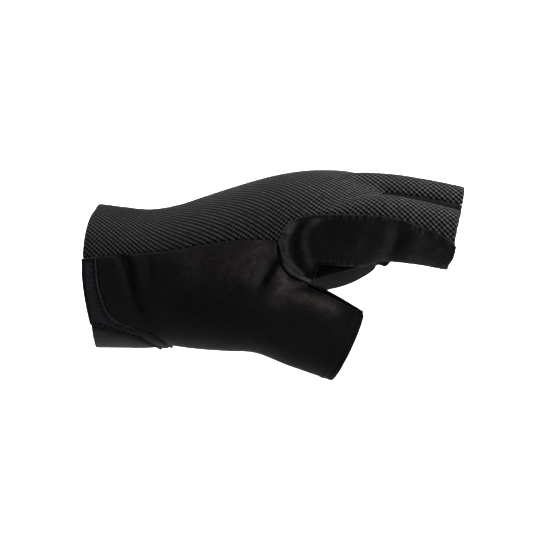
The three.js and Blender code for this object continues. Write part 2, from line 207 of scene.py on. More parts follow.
def hand(p):
    """Distance outside the hand's surface and the way it faces."""
    station = np.clip(hand_place(p)[0], CUFF_END, HAND["x"][-1])
    at = {key: column(HAND, key, station) for key in HAND if key != "x"}
    y = p[:, 1] - at["y"]
    z = p[:, 2] - at["z"] + at["arch"] * (p[:, 1] - ARCH_Y) ** 2
    across = y / at["half"]
    high = np.where(z > 0, at["top"], at["bottom"] * (1 + at["cant"] * np.clip(across, -1, 1)))
    power = at["square"]
    ratio = (np.abs(across) ** power + np.abs(z / high) ** power) ** (1 / power)
    ratio = np.maximum(ratio, LEAST_RATIO)
    steep_z = np.sign(z) * np.abs(z / high) ** (power - 1) / high
    steep_y = np.sign(y) * np.abs(across) ** (power - 1) / at["half"]
    steep_y = steep_y + steep_z * 2 * at["arch"] * (p[:, 1] - ARCH_Y)
    slope = np.hypot(steep_y, steep_z)
    distance = (ratio - 1) / np.maximum(slope * ratio ** (1 - power), LEAST_SLOPE)
    normal = unit(np.stack([0 * steep_y, steep_y, steep_z], 1))
    return soft_union(distance, p[:, 0] - WEB_END, -WEB_ROUND)[0], normal


def tube_place(p, rows):
    """Station along a tube, how far across and up from its middle, and those two directions."""
    station = p[:, 0]
    for _ in range(3):
        y, z = column(rows, "y", station), column(rows, "z", station)
        run_y = column(rows, "y", station + 1) - y
        run_z = column(rows, "z", station + 1) - z
        off_x, off_y, off_z = p[:, 0] - station, p[:, 1] - y, p[:, 2] - z
        station = station + (off_x + off_y * run_y + off_z * run_z) / (1 + run_y**2 + run_z**2)
    length = np.sqrt(1 + run_y**2 + run_z**2)
    along = np.stack([1 / length, run_y / length, run_z / length], 1)
    level = np.sqrt(1 - along[:, 2] ** 2)
    lean = along[:, 2]
    up = np.stack([-along[:, 0] * lean, -along[:, 1] * lean, level**2], 1) / level[:, None]
    across = np.stack([-along[:, 1], along[:, 0], 0 * level], 1) / level[:, None]
    off = np.stack([off_x, off_y, off_z], 1)
    return station, np.sum(off * across, 1), np.sum(off * up, 1), across, up


def tube(p, rows):
    """Distance outside a tube's surface and the way it faces."""
    station, a, b, across, up = tube_place(p, rows)
    inside = np.clip(station, rows["x"][0], rows["x"][-1])
    half = column(rows, "half", inside)
    high = column(rows, "high", inside)
    ratio = np.maximum(np.hypot(a / half, b / high), LEAST_RATIO)
    steep = np.hypot(a / half**2, b / high**2)
    distance = (ratio - 1) * ratio / np.maximum(steep, LEAST_SLOPE)
    normal = unit(across * (a / half**2)[:, None] + up * (b / high**2)[:, None])
    return np.maximum(distance, rows["x"][0] - station), normal


def glove(p):
    """Distance outside the glove's outer surface."""
    distance, normal = hand(p)
    for name, rows in TUBES.items():
        off_y = np.abs(p[:, 1] - column(rows, "y", p[:, 0]))
        off_z = np.abs(p[:, 2] - column(rows, "z", p[:, 0]))
        close = (off_y < 2 * NEAR) & (off_z < 2 * NEAR)
        near = np.flatnonzero((p[:, 0] > rows["x"][0] - NEAR) & close)
        other, facing = tube(p[near], rows)
        n = normal[near]
        size = FILLET[name] * np.clip(1 - np.sum(n * facing, 1), 0, 1) + SOFT[name]
        distance[near], share = soft_union(distance[near], other, size)
        normal[near] = unit(facing * (1 - share)[:, None] + n * share[:, None])
    close = np.abs(p[:, 1] - SADDLE["y"][0]) < 2 * NEAR
    near = np.flatnonzero((p[:, 0] > SADDLE["x"][0] - NEAR) & close)
    saddle = soft_union(tube(p[near], SADDLE)[0], p[near, 0] - SADDLE_END, -SADDLE_ROUND)[0]
    distance[near] = soft_union(distance[near], saddle, SADDLE_BLEND)[0]
    return distance


def gradient(field, p, reach=0.2):
    """Slope of a field at points."""
    slope = np.empty_like(p)
    for axis in range(3):
        move = np.zeros(3)
        move[axis] = reach
        slope[:, axis] = (field(p + move) - field(p - move)) / (2 * reach)
    return slope


def settled(p, rounds=3, least=0.05):
    """Points moved onto the glove's surface."""
    for _ in range(rounds):
        slope = gradient(glove, p)
        p = p - slope * (glove(p) / np.maximum(np.sum(slope * slope, 1), least))[:, None]
    return p


def halves(quads):
    """Two triangles for each quad."""
    return np.concatenate([quads[:, [0, 1, 2]], quads[:, [0, 2, 3]]])


def edges_of(triangles):
    """The three edges of every triangle, each in its direction."""
    return np.concatenate([triangles[:, [0, 1]], triangles[:, [1, 2]], triangles[:, [2, 0]]])


def corners_from(triangles, first):
    """The three corners of each triangle, counted from the one that is given."""
    return [np.take_along_axis(triangles, ((first + k) % 3)[:, None], 1)[:, 0] for k in range(3)]


def surface_net(low, high, step, coarse=4, reach=5.5):
    """Points and triangles of the glove's surface, found on a grid that is fine only near it."""
    blocks = np.ceil((np.array(high) - low) / (step * coarse)).astype(int)
    rough = [low[k] + step * (coarse * np.arange(blocks[k]) + (coarse - 1) / 2) for k in range(3)]
    mesh = np.stack(np.meshgrid(*rough, indexing="ij"), -1).reshape(-1, 3)
    far = glove(mesh).reshape(blocks)
    values = np.kron(far, np.ones((coarse,) * 3))
    near = np.kron(np.abs(far) < reach, np.ones((coarse,) * 3)) > 0
    places = np.argwhere(near)
    values[near] = glove(np.array(low) + step * places)
    inside = values < 0
    shape = np.array(values.shape) - 1

    def corner(array, offset):
        """One corner of every cell."""
        return array[tuple(slice(o, o + n) for o, n in zip(offset, shape))]

    total = np.zeros((*shape, 3), np.float32)
    number = np.zeros(shape, np.float32)
    for axis, *sides in itertools.product(range(3), (0, 1), (0, 1)):
        start, stop = np.insert(sides, axis, 0), np.insert(sides, axis, 1)
        a, b = corner(values, start), corner(values, stop)
        crossed = (a < 0) != (b < 0)
        t = np.where(crossed, a / np.where(crossed, a - b, 1), 0)
        for k in range(3):
            total[..., k] += crossed * (t if k == axis else start[k])
        number += crossed
    active = number > 0
    index = np.full(tuple(shape), -1)
    index[active] = np.arange(active.sum())
    points = np.argwhere(active) + total[active] / number[active][:, None]
    points = np.array(low) + step * points
    quads = []
    for axis in range(3):
        u, v = (axis + 1) % 3, (axis + 2) % 3
        stop = np.eye(3, dtype=int)[axis]
        size = np.array(values.shape) - stop
        a = inside[tuple(slice(0, n) for n in size)]
        b = inside[tuple(slice(o, o + n) for o, n in zip(stop, size))]
        for leaving in (True, False):
            cells = np.argwhere((a != b) & (a == leaving))
            cells = cells[(cells[:, u] > 0) & (cells[:, v] > 0)]
            cells = cells[np.all(cells < shape, 1)]
            ring = []
            for du, dv in ((0, 0), (1, 0), (1, 1), (0, 1)):
                cell = cells.copy()
                cell[:, u] -= du
                cell[:, v] -= dv
                ring.append(index[tuple(cell.T)])
            ring = np.stack(ring, 1)
            quads.append(ring if leaving else ring[:, ::-1])
    return points, halves(np.concatenate(quads))


# Seams on the thumb side, along X and up the tilted side view.
MESH_SEAM = [
    (-12, 6.4), (-2.5, 7.4), (13, 9), (31, 10.3), (45, 12.6), (61, 15), (74, 15), (79.4, 14.9),
    (81, 19.1), (84, 22.5), (89, 24.4), (96, 25.4), (115.5, 25.2), (128, 23.7), (141, 19.3),
    (147.4, 16.4), (151.4, 13.2), (158, 8),
]
CREASE = [
    (79, 60), (79, 15.4), (79.1, 8.6), (80.5, 4.1), (82.8, 0.8), (85.2, -0.9), (89.3, -2.5),
    (94.6, -4.8), (101.2, -7.8), (106.6, -10.7), (111.1, -13.1), (114.9, -15), (125, -20),
]
SIDE_UNDER_SEAM = [
    (94.3, -30), (94.4, -5), (95, 1), (96.8, 4), (105, 3.8), (112, 3.6), (117, 2), (122, -3),
    (170, -20),
]
# Seams on the little-finger side and under the thumb, along X and up, or along X and across.
OUTER_SEAM = table(
    "x z",
    (-12, 16), (10, 14.4), (26, 9.6), (50, 8.9), (80, 17.5), (104, 12.8), (114, 9.2), (140, -1.2),
)
UNDER_SEAM = table(
    "x y",
    (-12, 0), (40, -4), (46, -5), (52, -8), (58, -16), (63, -21), (76, -24), (92, -24.6), (120, -25),
)
# The index side panel stays on the thumb side of this line, along X and across.
SIDE_REACH = table("x y", (80, -24), (95, -27), (110, -33), (160, -38))
# The thumb panel's upper edge, along X and in degrees of turn round the thumb.
THUMB_TOP = table("x turn", (80, 4), (88, 2), (95, 0.5), (100.5, -3), (106, -8), (120, -9))
THUMB_TOP_FROM = 84.0          # before this station the crease alone is the panel's edge
THUMB_TOP_STEEP = 5.0          # the upper edge gives way this fast before it
THUMB_GIRTH = 0.28             # mm round the thumb for each degree of turn
# Edges of the slanting band round the wrist, station and turn, the same on both sides.
BAND_INNER = [
    (5.4, 30), (5.4, 57), (5.8, 76), (6.3, 85), (7.2, 94.5), (8, 101), (9.6, 107), (12.4, 111.5),
    (16.4, 115), (20.4, 118.5), (24.4, 122.5), (27.5, 128), (30.7, 136), (32.6, 146), (33.8, 160),
    (34.2, 180),
]
BAND_OUTER = [
    (-12, 112), (1.3, 115), (8, 119.7), (10.1, 122.6), (14.3, 125.8), (18.5, 129), (22, 135),
    (25, 143.5), (27.5, 155), (28.6, 180),
]
GIRTH = 0.54                   # mm round the wrist for each degree of turn
# Strips between the fingers: where they start, and their reach above and below the fingers' middle.
FOURCHETTE = {"start": 108, "up": 4.2, "down": 5}
SLOT_RISE = 5.0                # how much higher the first strip reaches on the middle finger's near side
SLOT_Y = (-24, -19)            # it rises between these places across
SLOT_X = (118, 124)            # and along
# Lower edge of the index side panel's start, where a strip of the palm shows beside the crease.
STRIP_TOP = [
    (79, 14), (80.2, 9), (81.5, 6), (83.6, 4), (86.1, 2.3), (89.5, -0.2), (94.5, -3.15), (98, -6),
    (125, -24),
]


def curve(points, per_span=6):
    """Dense points on a smooth line through a few points."""
    knots = np.array(points, float)
    ends = np.vstack([2 * knots[0] - knots[1], knots, 2 * knots[-1] - knots[-2]])
    dense = []
    for a, b, c, d in zip(ends, ends[1:], ends[2:], ends[3:]):
        for t in np.arange(per_span) / per_span:
            straight = np.linalg.norm(c - b)
            enter = (c - a) / max(np.linalg.norm(c - a), 1e-9) * straight
            leave = (d - b) / max(np.linalg.norm(d - b), 1e-9) * straight
            s = 1 - t
            chord = b * s * s * (1 + 2 * t) + c * t * t * (3 - 2 * t)
            dense.append(chord + t * s * (enter * s - leave * t))
    return np.array(dense + [knots[-1]])


def side_of(points, line):
    """Distance from a line in the plane, positive on its left."""
    a, run = line[:-1], np.diff(line, axis=0)
    best = np.full(len(points), np.inf)
    side = np.ones(len(points))
    for start, step in zip(a, run):
        off = points - start
        t = np.clip(off @ step / (step @ step), 0, 1)
        gap = np.hypot(*(off - t[:, None] * step).T)
        nearer = gap < best - 1e-9
        best[nearer] = gap[nearer]
        side[nearer] = np.sign(step[0] * off[:, 1] - step[1] * off[:, 0])[nearer]
    return best * side


SIDE_UP = (0, math.sin(SIDE_TILT), math.cos(SIDE_TILT))
SIDE_IN = (0, math.cos(SIDE_TILT), -math.sin(SIDE_TILT))


def side_view(p):
    """Points along X and up the tilted side view."""
    return np.stack([p[:, 0], p[:, 2] * math.cos(SIDE_TILT) + p[:, 1] * math.sin(SIDE_TILT)], 1)


def band_view(p):
    """Points along the wrist and round it from the back, the same for both sides."""
    station, turn = hand_place(p)
    degrees = np.degrees(turn)
    return np.stack([station, GIRTH * np.minimum(degrees, 360 - degrees)], 1)


def band_line(rows):
    """An edge of the band in the same measures."""
    return curve([(x, GIRTH * turn) for x, turn in rows])


def finger_middle(p):
    """Height of the middle of the fingers at a point, from finger to finger."""
    ys = np.stack([column(TUBES[name], "y", p[:, 0]) for name in FINGERS])
    zs = np.stack([column(TUBES[name], "z", p[:, 0]) for name in FINGERS])
    height = zs[0].copy()
    for k in range(3):
        t = np.clip((p[:, 1] - ys[k]) / (ys[k + 1] - ys[k]), 0, 1)
        height += t * (zs[k + 1] - zs[k])
    return height, ys[0], ys[3]


def strip_top(p):
    """How far above the middle of the fingers the knit ends between them."""
    near = (p[:, 1] < column(TUBES["middle"], "y", p[:, 0])) * smoothstep(p[:, 1], *SLOT_Y)
    return FOURCHETTE["up"] + SLOT_RISE * near * smoothstep(p[:, 0], *SLOT_X)


def above_back(p):
    """Positive on the back of the hand."""
    height, first, last = finger_middle(p)
    value = p[:, 2] - height - strip_top(p)
    near = p[:, 1] < first
    value[near] = side_of(side_view(p[near]), curve(MESH_SEAM))
    far = p[:, 1] > last
    value[far] = p[far, 2] - column(OUTER_SEAM, "z", p[far, 0])
    return value


def on_strip(p):
    """Positive between two fingers, on the strips that join them."""
    height, first, last = finger_middle(p)
    off = p[:, 2] - height
    inside = np.minimum(p[:, 1] - first, last - p[:, 1])
    level = np.minimum(strip_top(p) - off, off + FOURCHETTE["down"])
    return np.minimum(np.minimum(level, inside), p[:, 0] - FOURCHETTE["start"])


def on_thumb(p):
    """Positive on the thumb panel, once the back and the wrist are cut away."""
    x = p[:, 0]
    station, a, b, _, _ = tube_place(p, TUBES["thumb"])
    across = -a / column(TUBES["thumb"], "half", station)
    turn = np.degrees(np.arctan2(across, b / column(TUBES["thumb"], "high", station)))
    turn = (turn + 90) % 360 - 90
    before = THUMB_TOP_STEEP * np.maximum(THUMB_TOP_FROM - x, 0)
    top = (turn - column(THUMB_TOP, "turn", station)) * THUMB_GIRTH
    crease = -side_of(side_view(p), curve(CREASE))
    under = column(UNDER_SEAM, "y", x) - p[:, 1]
    return np.minimum.reduce([under, crease, np.maximum(top, before)])


def on_side(p):
    """Positive on the index side panel, once the back and the thumb are cut away."""
    view = side_view(p)
    side = np.minimum(side_of(view, curve(SIDE_UNDER_SEAM)), side_of(view, curve(STRIP_TOP)))
    return np.minimum(side, column(SIDE_REACH, "y", p[:, 0]) - p[:, 1])


CUFF_TO = 60.0                 # the cuff's edge counts up to this station
TUBES_FROM = 90.0              # the ends of the fingers and the thumb from this one
ON_TUBE = 2.5                  # a point this near a tube belongs to it
NO_END = -50.0                 # stands for a place far from every edge


def end_place(p):
    """How far past the start of an opening's turned edge each point lies, and which way is out."""
    past = CUFF_END + HEM - hand_place(p)[0]
    out = np.tile([-1.0, 0.0, 0.0], (len(p), 1))
    past[p[:, 0] > CUFF_TO] = NO_END
    for name, rows in TUBES.items():
        near = np.flatnonzero(p[:, 0] > TUBES_FROM)
        near = near[tube(p[near], rows)[0] < ON_TUBE]
        station, _, b, across, up = tube_place(p[near], rows)
        past[near] = station - (rows["x"][-1] - HEM)
        if name == "index":
            past[near] -= INDEX_BULGE * np.exp(-(((b - BULGE_AT) / BULGE_HALF) ** 4))
        out[near] = np.cross(across, up)
    return past, out


def inside_ends(p):
    """Positive between the turned edges of the openings."""
    return HEM * HEM_TURN - end_place(p)[0]


def rolled(p, normals):
    """The surface with its edges turned in at the openings, the way it then faces, and its lining."""
    past, out = end_place(p)
    past = np.maximum(past, 0)[:, None]
    turn = np.minimum(past / HEM, HEM_TURN)
    foot = p - out * past
    place = foot + out * HEM * np.sin(turn) - normals * HEM * (1 - np.cos(turn))
    lining = foot + out * past * HEM_TUCK - normals * WALL
    return place, unit(normals * np.cos(turn) + out * np.sin(turn)), lining


def clipped(points, triangles, values):
    """The part of a mesh where values are positive, cut cleanly along their zero line."""
    inside = values > 0
    count = inside[triangles].sum(1)
    kept = [triangles[count == 3]]
    ends, corners = [], []

    def cut(a, b):
        """Numbers of the new points between two rows of points."""
        ends.append(np.stack([a, b], 1))
        return len(points) + sum(len(e) for e in ends[:-1]) + np.arange(len(a))

    for number, wanted in ((1, True), (2, False)):
        some = triangles[count == number]
        a, b, c = corners_from(some, (inside[some] == wanted).argmax(1))
        ab, ac = cut(a, b), cut(a, c)
        if wanted:
            corners.append(np.stack([a, ab, ac], 1))
        else:
            corners.append(np.stack([ab, b, c], 1))
            corners.append(np.stack([ab, c, ac], 1))
    pairs = np.concatenate(ends)
    t = values[pairs[:, 0]] / (values[pairs[:, 0]] - values[pairs[:, 1]])
    fresh = points[pairs[:, 0]] + t[:, None] * (points[pairs[:, 1]] - points[pairs[:, 0]])
    edges, unique = np.unique(np.sort(pairs, 1), axis=0, return_inverse=True)
    merged = np.zeros((len(edges), points.shape[1]))
    merged[unique.ravel()] = fresh
    place = np.concatenate([np.arange(len(points)), len(points) + unique.ravel()])
    triangles = place[np.concatenate(kept + corners)]
    points = np.concatenate([points, merged])
    used, triangles = np.unique(triangles, return_inverse=True)
    triangles = triangles.reshape(-1, 3)
    solid = (triangles[:, 0] != triangles[:, 1]) & (triangles[:, 1] != triangles[:, 2])
    return points[used], triangles[solid & (triangles[:, 0] != triangles[:, 2])]


def part(mesh, *rules):
    """The part of a mesh on the positive side of each rule, a seam's width clear of it."""
    points, triangles = mesh
    for rule in rules:
        points, triangles = clipped(points, triangles, rule(points[:, :3]) - SEAM)
    return points, triangles


def opposite(rule):
    """The other side of a rule."""
    return lambda p: -rule(p)


def past_band(p):
    """Positive on the finger side of the slanting band."""
    return -side_of(band_view(p), band_line(BAND_INNER))


def past_gusset(p):
    """Positive on the finger side of the gusset, on the band and past it."""
    return -side_of(band_view(p), band_line(BAND_OUTER))


def vertex_normals(points, triangles):
    """The way a mesh faces at its points."""
    a, b, c = (points[triangles[:, k]] for k in range(3))
    face = np.cross(b - a, c - a)
    normals = np.zeros_like(points)
    for k in range(3):
        for axis in range(3):
            normals[:, axis] += np.bincount(triangles[:, k], face[:, axis], len(points))
    return unit(normals)


def border(triangles):
    """Edges of a mesh with a face on one side only, in the direction of that face."""
    edges = edges_of(triangles)
    both_ways = np.sort(edges, 1)
    _, unique, count = np.unique(both_ways, axis=0, return_inverse=True, return_counts=True)
    return edges[count[unique.ravel()] == 1]


def border_distance(points, triangles, reach=8.0):
    """How far each point is from the border of its mesh, as far as reach."""
    rim = border(triangles)
    a, b = points[rim[:, 0]], points[rim[:, 1]]
    dense = np.concatenate([a + (b - a) * t for t in (0, 0.25, 0.5, 0.75)])
    tree = KDTree(len(dense))
    for i, place in enumerate(dense.tolist()):
        tree.insert(place, i)
    tree.balance()
    return np.array([min(tree.find(place)[2], reach) for place in points.tolist()])


def line_distance(points, line):
    """Distance from a line of a few points, and the share of it that is passed there."""
    line = np.array(line, float)
    best = np.full(len(points), np.inf)
    share = np.zeros(len(points))
    for i, (start, stop) in enumerate(zip(line, line[1:])):
        step = stop - start
        off = points - start
        t = np.clip(off @ step / (step @ step), 0, 1)
        gap = np.linalg.norm(off - t[:, None] * step, axis=1)
        nearer = gap < best
        best[nearer] = gap[nearer]
        share[nearer] = ((i + t) / (len(line) - 1))[nearer]
    return best, share


FADE_IN, FADE_OUT = (0, 0.25), (0.6, 1)  # shares of its line in which a fold comes and goes


def folded(view, folds, fading=True):
    """Height of soft folds, or amount of painted highlight and shade: half width, height and line in the
    side view.
    """
    height = np.zeros(len(view))
    for wide, high, line in folds:
        gap, share = line_distance(view, curve(line))
        fade = smoothstep(share, *FADE_IN) * (1 - smoothstep(share, *FADE_OUT)) if fading else 1
        height += hump(gap, high, 0, wide) * fade
    return height


def refined(mesh, chosen):
    """The mesh with every edge between two chosen points halved."""
    points, triangles = mesh
    edges, place = np.unique(np.sort(edges_of(triangles), 1), axis=0, return_inverse=True)
    split = chosen[edges].all(1)
    number = np.where(split, len(points) + np.cumsum(split) - 1, -1)
    middle = number[place.ravel().reshape(3, -1).T]
    points = np.concatenate([points, points[edges[split]].mean(1)])
    whole = triangles[(middle >= 0).sum(1) == 0]
    full = (middle >= 0).all(1)
    a, b, c = triangles[full].T
    ab, bc, ca = middle[full].T
    corners = [(a, ab, ca), (ab, b, bc), (ca, bc, c), (ab, bc, ca)]
    parts = [whole] + [np.stack(three, 1) for three in corners]
    one = (middle >= 0).sum(1) == 1
    first = (middle[one] >= 0).argmax(1)
    a, b, c = corners_from(triangles[one], first)
    half = corners_from(middle[one], first)[0]
    parts += [np.stack([a, half, c], 1), np.stack([half, b, c], 1)]
    return points, np.concatenate(parts)


def cast(line, start=75, rounds=40, pace=0.6):
    """Points of the thumb side under points of the side view, found from a start outside."""
    inward = np.array(SIDE_IN)
    p = line[:, :1] * np.array([1.0, 0, 0]) + line[:, 1:] * np.array(SIDE_UP) - start * inward
    for _ in range(rounds):
        p = p + inward * (pace * glove(p))[:, None]
    return settled(p, 1)


def beside(line, gap):
    """A line in the plane moved to its right by a gap."""
    run = np.gradient(line, axis=0)
    run /= np.linalg.norm(run, axis=1, keepdims=True)
    return line + gap * np.stack([run[:, 1], -run[:, 0]], 1)


def paced(line, pitch):
    """Points at even steps along a line."""
    run = np.concatenate([[0], np.cumsum(np.linalg.norm(np.diff(line, axis=0), axis=1))])
    steps = np.arange(0, run[-1], pitch)
    return np.stack([np.interp(steps, run, line[:, k]) for k in range(line.shape[1])], 1)


def on_wrist(line):
    """Points of the wrist at stations and lengths round it from the back."""
    station, turn = line[:, 0], np.radians(line[:, 1] / GIRTH)
    x = station - column(HAND, "lean", station) * leaning(turn)
    y = column(HAND, "y", station) - column(HAND, "half", station) * np.sin(turn)
    z = column(HAND, "z", station) + column(HAND, "bottom", station) * np.cos(turn)
    return settled(np.stack([x, y, z], 1), 2)


def round_tube(name, back):
    """Points round a tube, a little back from its end."""
    rows = TUBES[name]
    turn = np.radians(np.arange(0, 360, 2.0))
    at = rows["x"][-1] - back
    run = [column(rows, key, at + 1) - column(rows, key, at) for key in "yz"]
    middle = np.array([at, column(rows, "y", at), column(rows, "z", at)])
    along = np.array([1, run[0], run[1]]) / math.hypot(1, *run)
    across = np.cross((0, 0, 1), along)
    across /= np.linalg.norm(across)
    up = np.cross(along, across)
    sideways = -np.outer(np.sin(turn), across) * column(rows, "half", at)
    upright = np.outer(np.cos(turn), up) * column(rows, "high", at)
    return settled(middle + (sideways + upright), 2)


# Sections of one thread: share of its length, share of its thickness, and rise in thicknesses.
THREAD = [(-0.5, 0.35, -0.6), (-0.36, 0.85, 0.1), (0, 1, 0.5), (0.36, 0.85, 0.1), (0.5, 0.35, -0.6)]
THREAD_SIDES = 6
THREAD_FLAT = 0.8              # a thread is this high for its breadth


def stitch_row(line, pitch, lift, long=0.7, thick=0.18, zigzag=0.0):
    """Short threads along a line on the surface, each dipping into the cloth at its ends."""
    places = paced(line, pitch)
    if len(places) < 3:
        return np.zeros((0, 3)), np.zeros((0, 3), int)
    facing = unit(gradient(glove, places))
    run = unit(np.gradient(places, axis=0))
    side = unit(np.cross(facing, run))
    slant = zigzag * (-1.0) ** np.arange(len(places))[:, None]
    run = unit(run + side * slant)
    side = np.cross(facing, run)
    length = pitch * long * math.hypot(1, zigzag)
    sides = THREAD_SIDES
    points = []
    for share, size, rise in THREAD:
        for k in range(sides):
            turn = 2 * math.pi * k / sides
            across = side * math.cos(turn) * size * thick
            off = across + facing * math.sin(turn) * size * thick * THREAD_FLAT
            points.append(places + run * length * share + facing * (lift + rise * thick) + off)
    points = np.stack(points, 1)
    faces = []
    for ring in range(len(THREAD) - 1):
        for k in range(sides):
            a, b = ring * sides + k, ring * sides + (k + 1) % sides
            faces += [(a, b, b + sides), (a, b + sides, a + sides)]
    last = (len(THREAD) - 1) * sides
    for k in range(1, sides - 1):
        faces += [(0, k + 1, k), (last, last + k, last + k + 1)]
    count = points.shape[1]
    triangles = (np.arange(len(places))[:, None, None] * count + np.array(faces)[None]).reshape(-1, 3)
    return points.reshape(-1, 3), triangles


def joined(meshes):
    """Several meshes as one."""
    start = np.cumsum([0] + [len(points) for points, _ in meshes])
    triangles = [mesh[1] + n for mesh, n in zip(meshes, start)]
    return np.concatenate([mesh[0] for mesh in meshes]), np.concatenate(triangles)


def runs(line, keep):
    """The unbroken stretches of a line where keep is true."""
    edges = np.flatnonzero(np.diff(np.concatenate([[0], keep.astype(int), [0]])))
    return [line[a:b] for a, b in zip(edges[::2], edges[1::2]) if b - a > 3]


def shell(mesh, lift):
    """Closed cloth: the outer face is lifted, turned in at the openings and lined."""
    points, triangles = mesh
    normals = vertex_normals(points, triangles)
    place, facing, lining = rolled(points, normals)
    count = len(points)
    rim = border(triangles)
    a, b = rim[:, 0], rim[:, 1]
    sides = np.concatenate([np.stack([b, a, a + count], 1), np.stack([b, a + count, b + count], 1)])
    faces = np.concatenate([triangles, triangles[:, ::-1] + count, sides])
    return np.concatenate([place + facing * lift[:, None], lining]), faces


SHARP = 60                     # edges of cloth sharper than this many degrees stay sharp


def piece(name, solid, material, replaced=(), uv=None, sharp=None, tone_and_painted_light=None):
    """A finished piece. Its point values paint the nap paler above 0 and darker below: mostly painted
    highlights and shade.
    """
    points, triangles = solid
    mesh = bpy.data.meshes.new(name)
    mesh.from_pydata((points * MM).tolist(), [], triangles.tolist())
    mesh.polygons.foreach_set("use_smooth", np.ones(len(triangles), bool))
    if uv is not None:
        layer = mesh.uv_layers.new(name="weave")
        layer.data.foreach_set("uv", uv[triangles.ravel()].ravel())
    if tone_and_painted_light is not None:
        # Point values for the suede: mostly painted highlights above 0 and painted shade below 0.
        layer = mesh.attributes.new("tone_and_painted_light", "FLOAT", "POINT")
        layer.data.foreach_set("value", np.tile(tone_and_painted_light, 2).astype(np.float32))
    if sharp is not None:
        mesh.set_sharp_from_angle(angle=math.radians(sharp))
    mesh.materials.append(MATERIALS[material])
    mesh.update()
    made = bpy.data.objects.new(name, mesh)
    bpy.context.scene.collection.objects.link(made)
    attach(made, "root")
    if replaced:
        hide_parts(*replaced)


def panel(name, mesh, lift, material, replaced, tone_and_painted_light=None):
    """A panel of cloth as a closed shell."""
    piece(name, shell(mesh, lift), material, replaced, sharp=SHARP, tone_and_painted_light=tone_and_painted_light)


# Knit of the back: the stitches stand in offset rows, so the small holes form slanting lines.
WEAVE = table("x long", (-6, 1.96), (45, 2.0), (75, 2.1), (100, 2.12), (125, 2.3), (160, 2.4))
WEAVE_ROUND = 2.25             # from stitch to stitch round the hand; its length along it varies
FINE = 6                       # mesh rows to a stitch
# How much the rows climb towards the back along the glove.
SLANT = table(
    "x rise",
    (-6, 0.27), (33, 0.26), (53, 0.06), (73, 0.01), (96, 0.04), (112, 0.05), (140, 0.15), (160, 0.15),
)
# Place across of each finger's ridge, from which its rows are counted.
RIDGES = table(
    "x index middle ring little",
    (-6, -15, -5, 6, 16), (40, -18, -5.3, 8, 20), (75, -23.5, -6.3, 11.5, 28),
    (100, -27.8, -7.2, 13.5, 33.2), (108, -29, -7.4, 14, 34.4), (124, -30.6, -7.8, 14.9, 36.4),
    (160, -33.5, -8.7, 16, 40),
)
KNIT_FROM, KNIT_TO = -5, 160   # the strips of knit are laid between these stations, then cut
JOINED_TO = 100.0              # rows are laid across the whole back up to here
SPLIT_AT = 112.0               # and along each finger from here
FREED_IN = 12.0                # within this length from there they take their own spacing again
STATION_STEP = 0.05            # steps in which the stitches are counted along the glove
TRACE_STEP = 0.4               # steps round the hand
TRACE_COUNTS = [(130, 62), (62, 62), (62, 62), (62, 100)]  # to both sides of each ridge
LOOP_HIGH = 0.15               # height of the knit's loops and depth of the holes between them
HOLE_DEEP = 0.6
HOLE_HALF = (0.22, 0.36)       # half widths of a hole along both slants, in stitches


def ridge(x, y, low=-10.0, high=60, rise=0.5):
    """Points of the surface straight above places."""
    z = np.full(len(x), low)
    for level in np.arange(low, high, rise):
        p = np.stack([x, y, np.full(len(x), level)], 1)
        z = np.where(glove(p) < 0, level, z)
    p = np.stack([x, y, z], 1)
    for _ in range(6):
        p[:, 2] -= glove(p)
    return p


def traced(start, way, count, step, nudge=0.1, least=0.3):
    """Points at even steps round one side of the section through each start."""
    p = start.copy()
    line = []
    for _ in range(count + 1):
        for _ in range(2):
            base = glove(p)
            moved = [glove(p + [0, nudge, 0]) - base, glove(p + [0, 0, nudge]) - base]
            slope = np.stack(moved, 1) / nudge
            size = np.maximum(np.hypot(slope[:, 0], slope[:, 1]), least)[:, None]
            p[:, 1:] -= slope * base[:, None] / size**2
        line.append(p.copy())
        p[:, 1:] += way * step * np.stack([slope[:, 1], -slope[:, 0]], 1) / size
    return np.array(line)


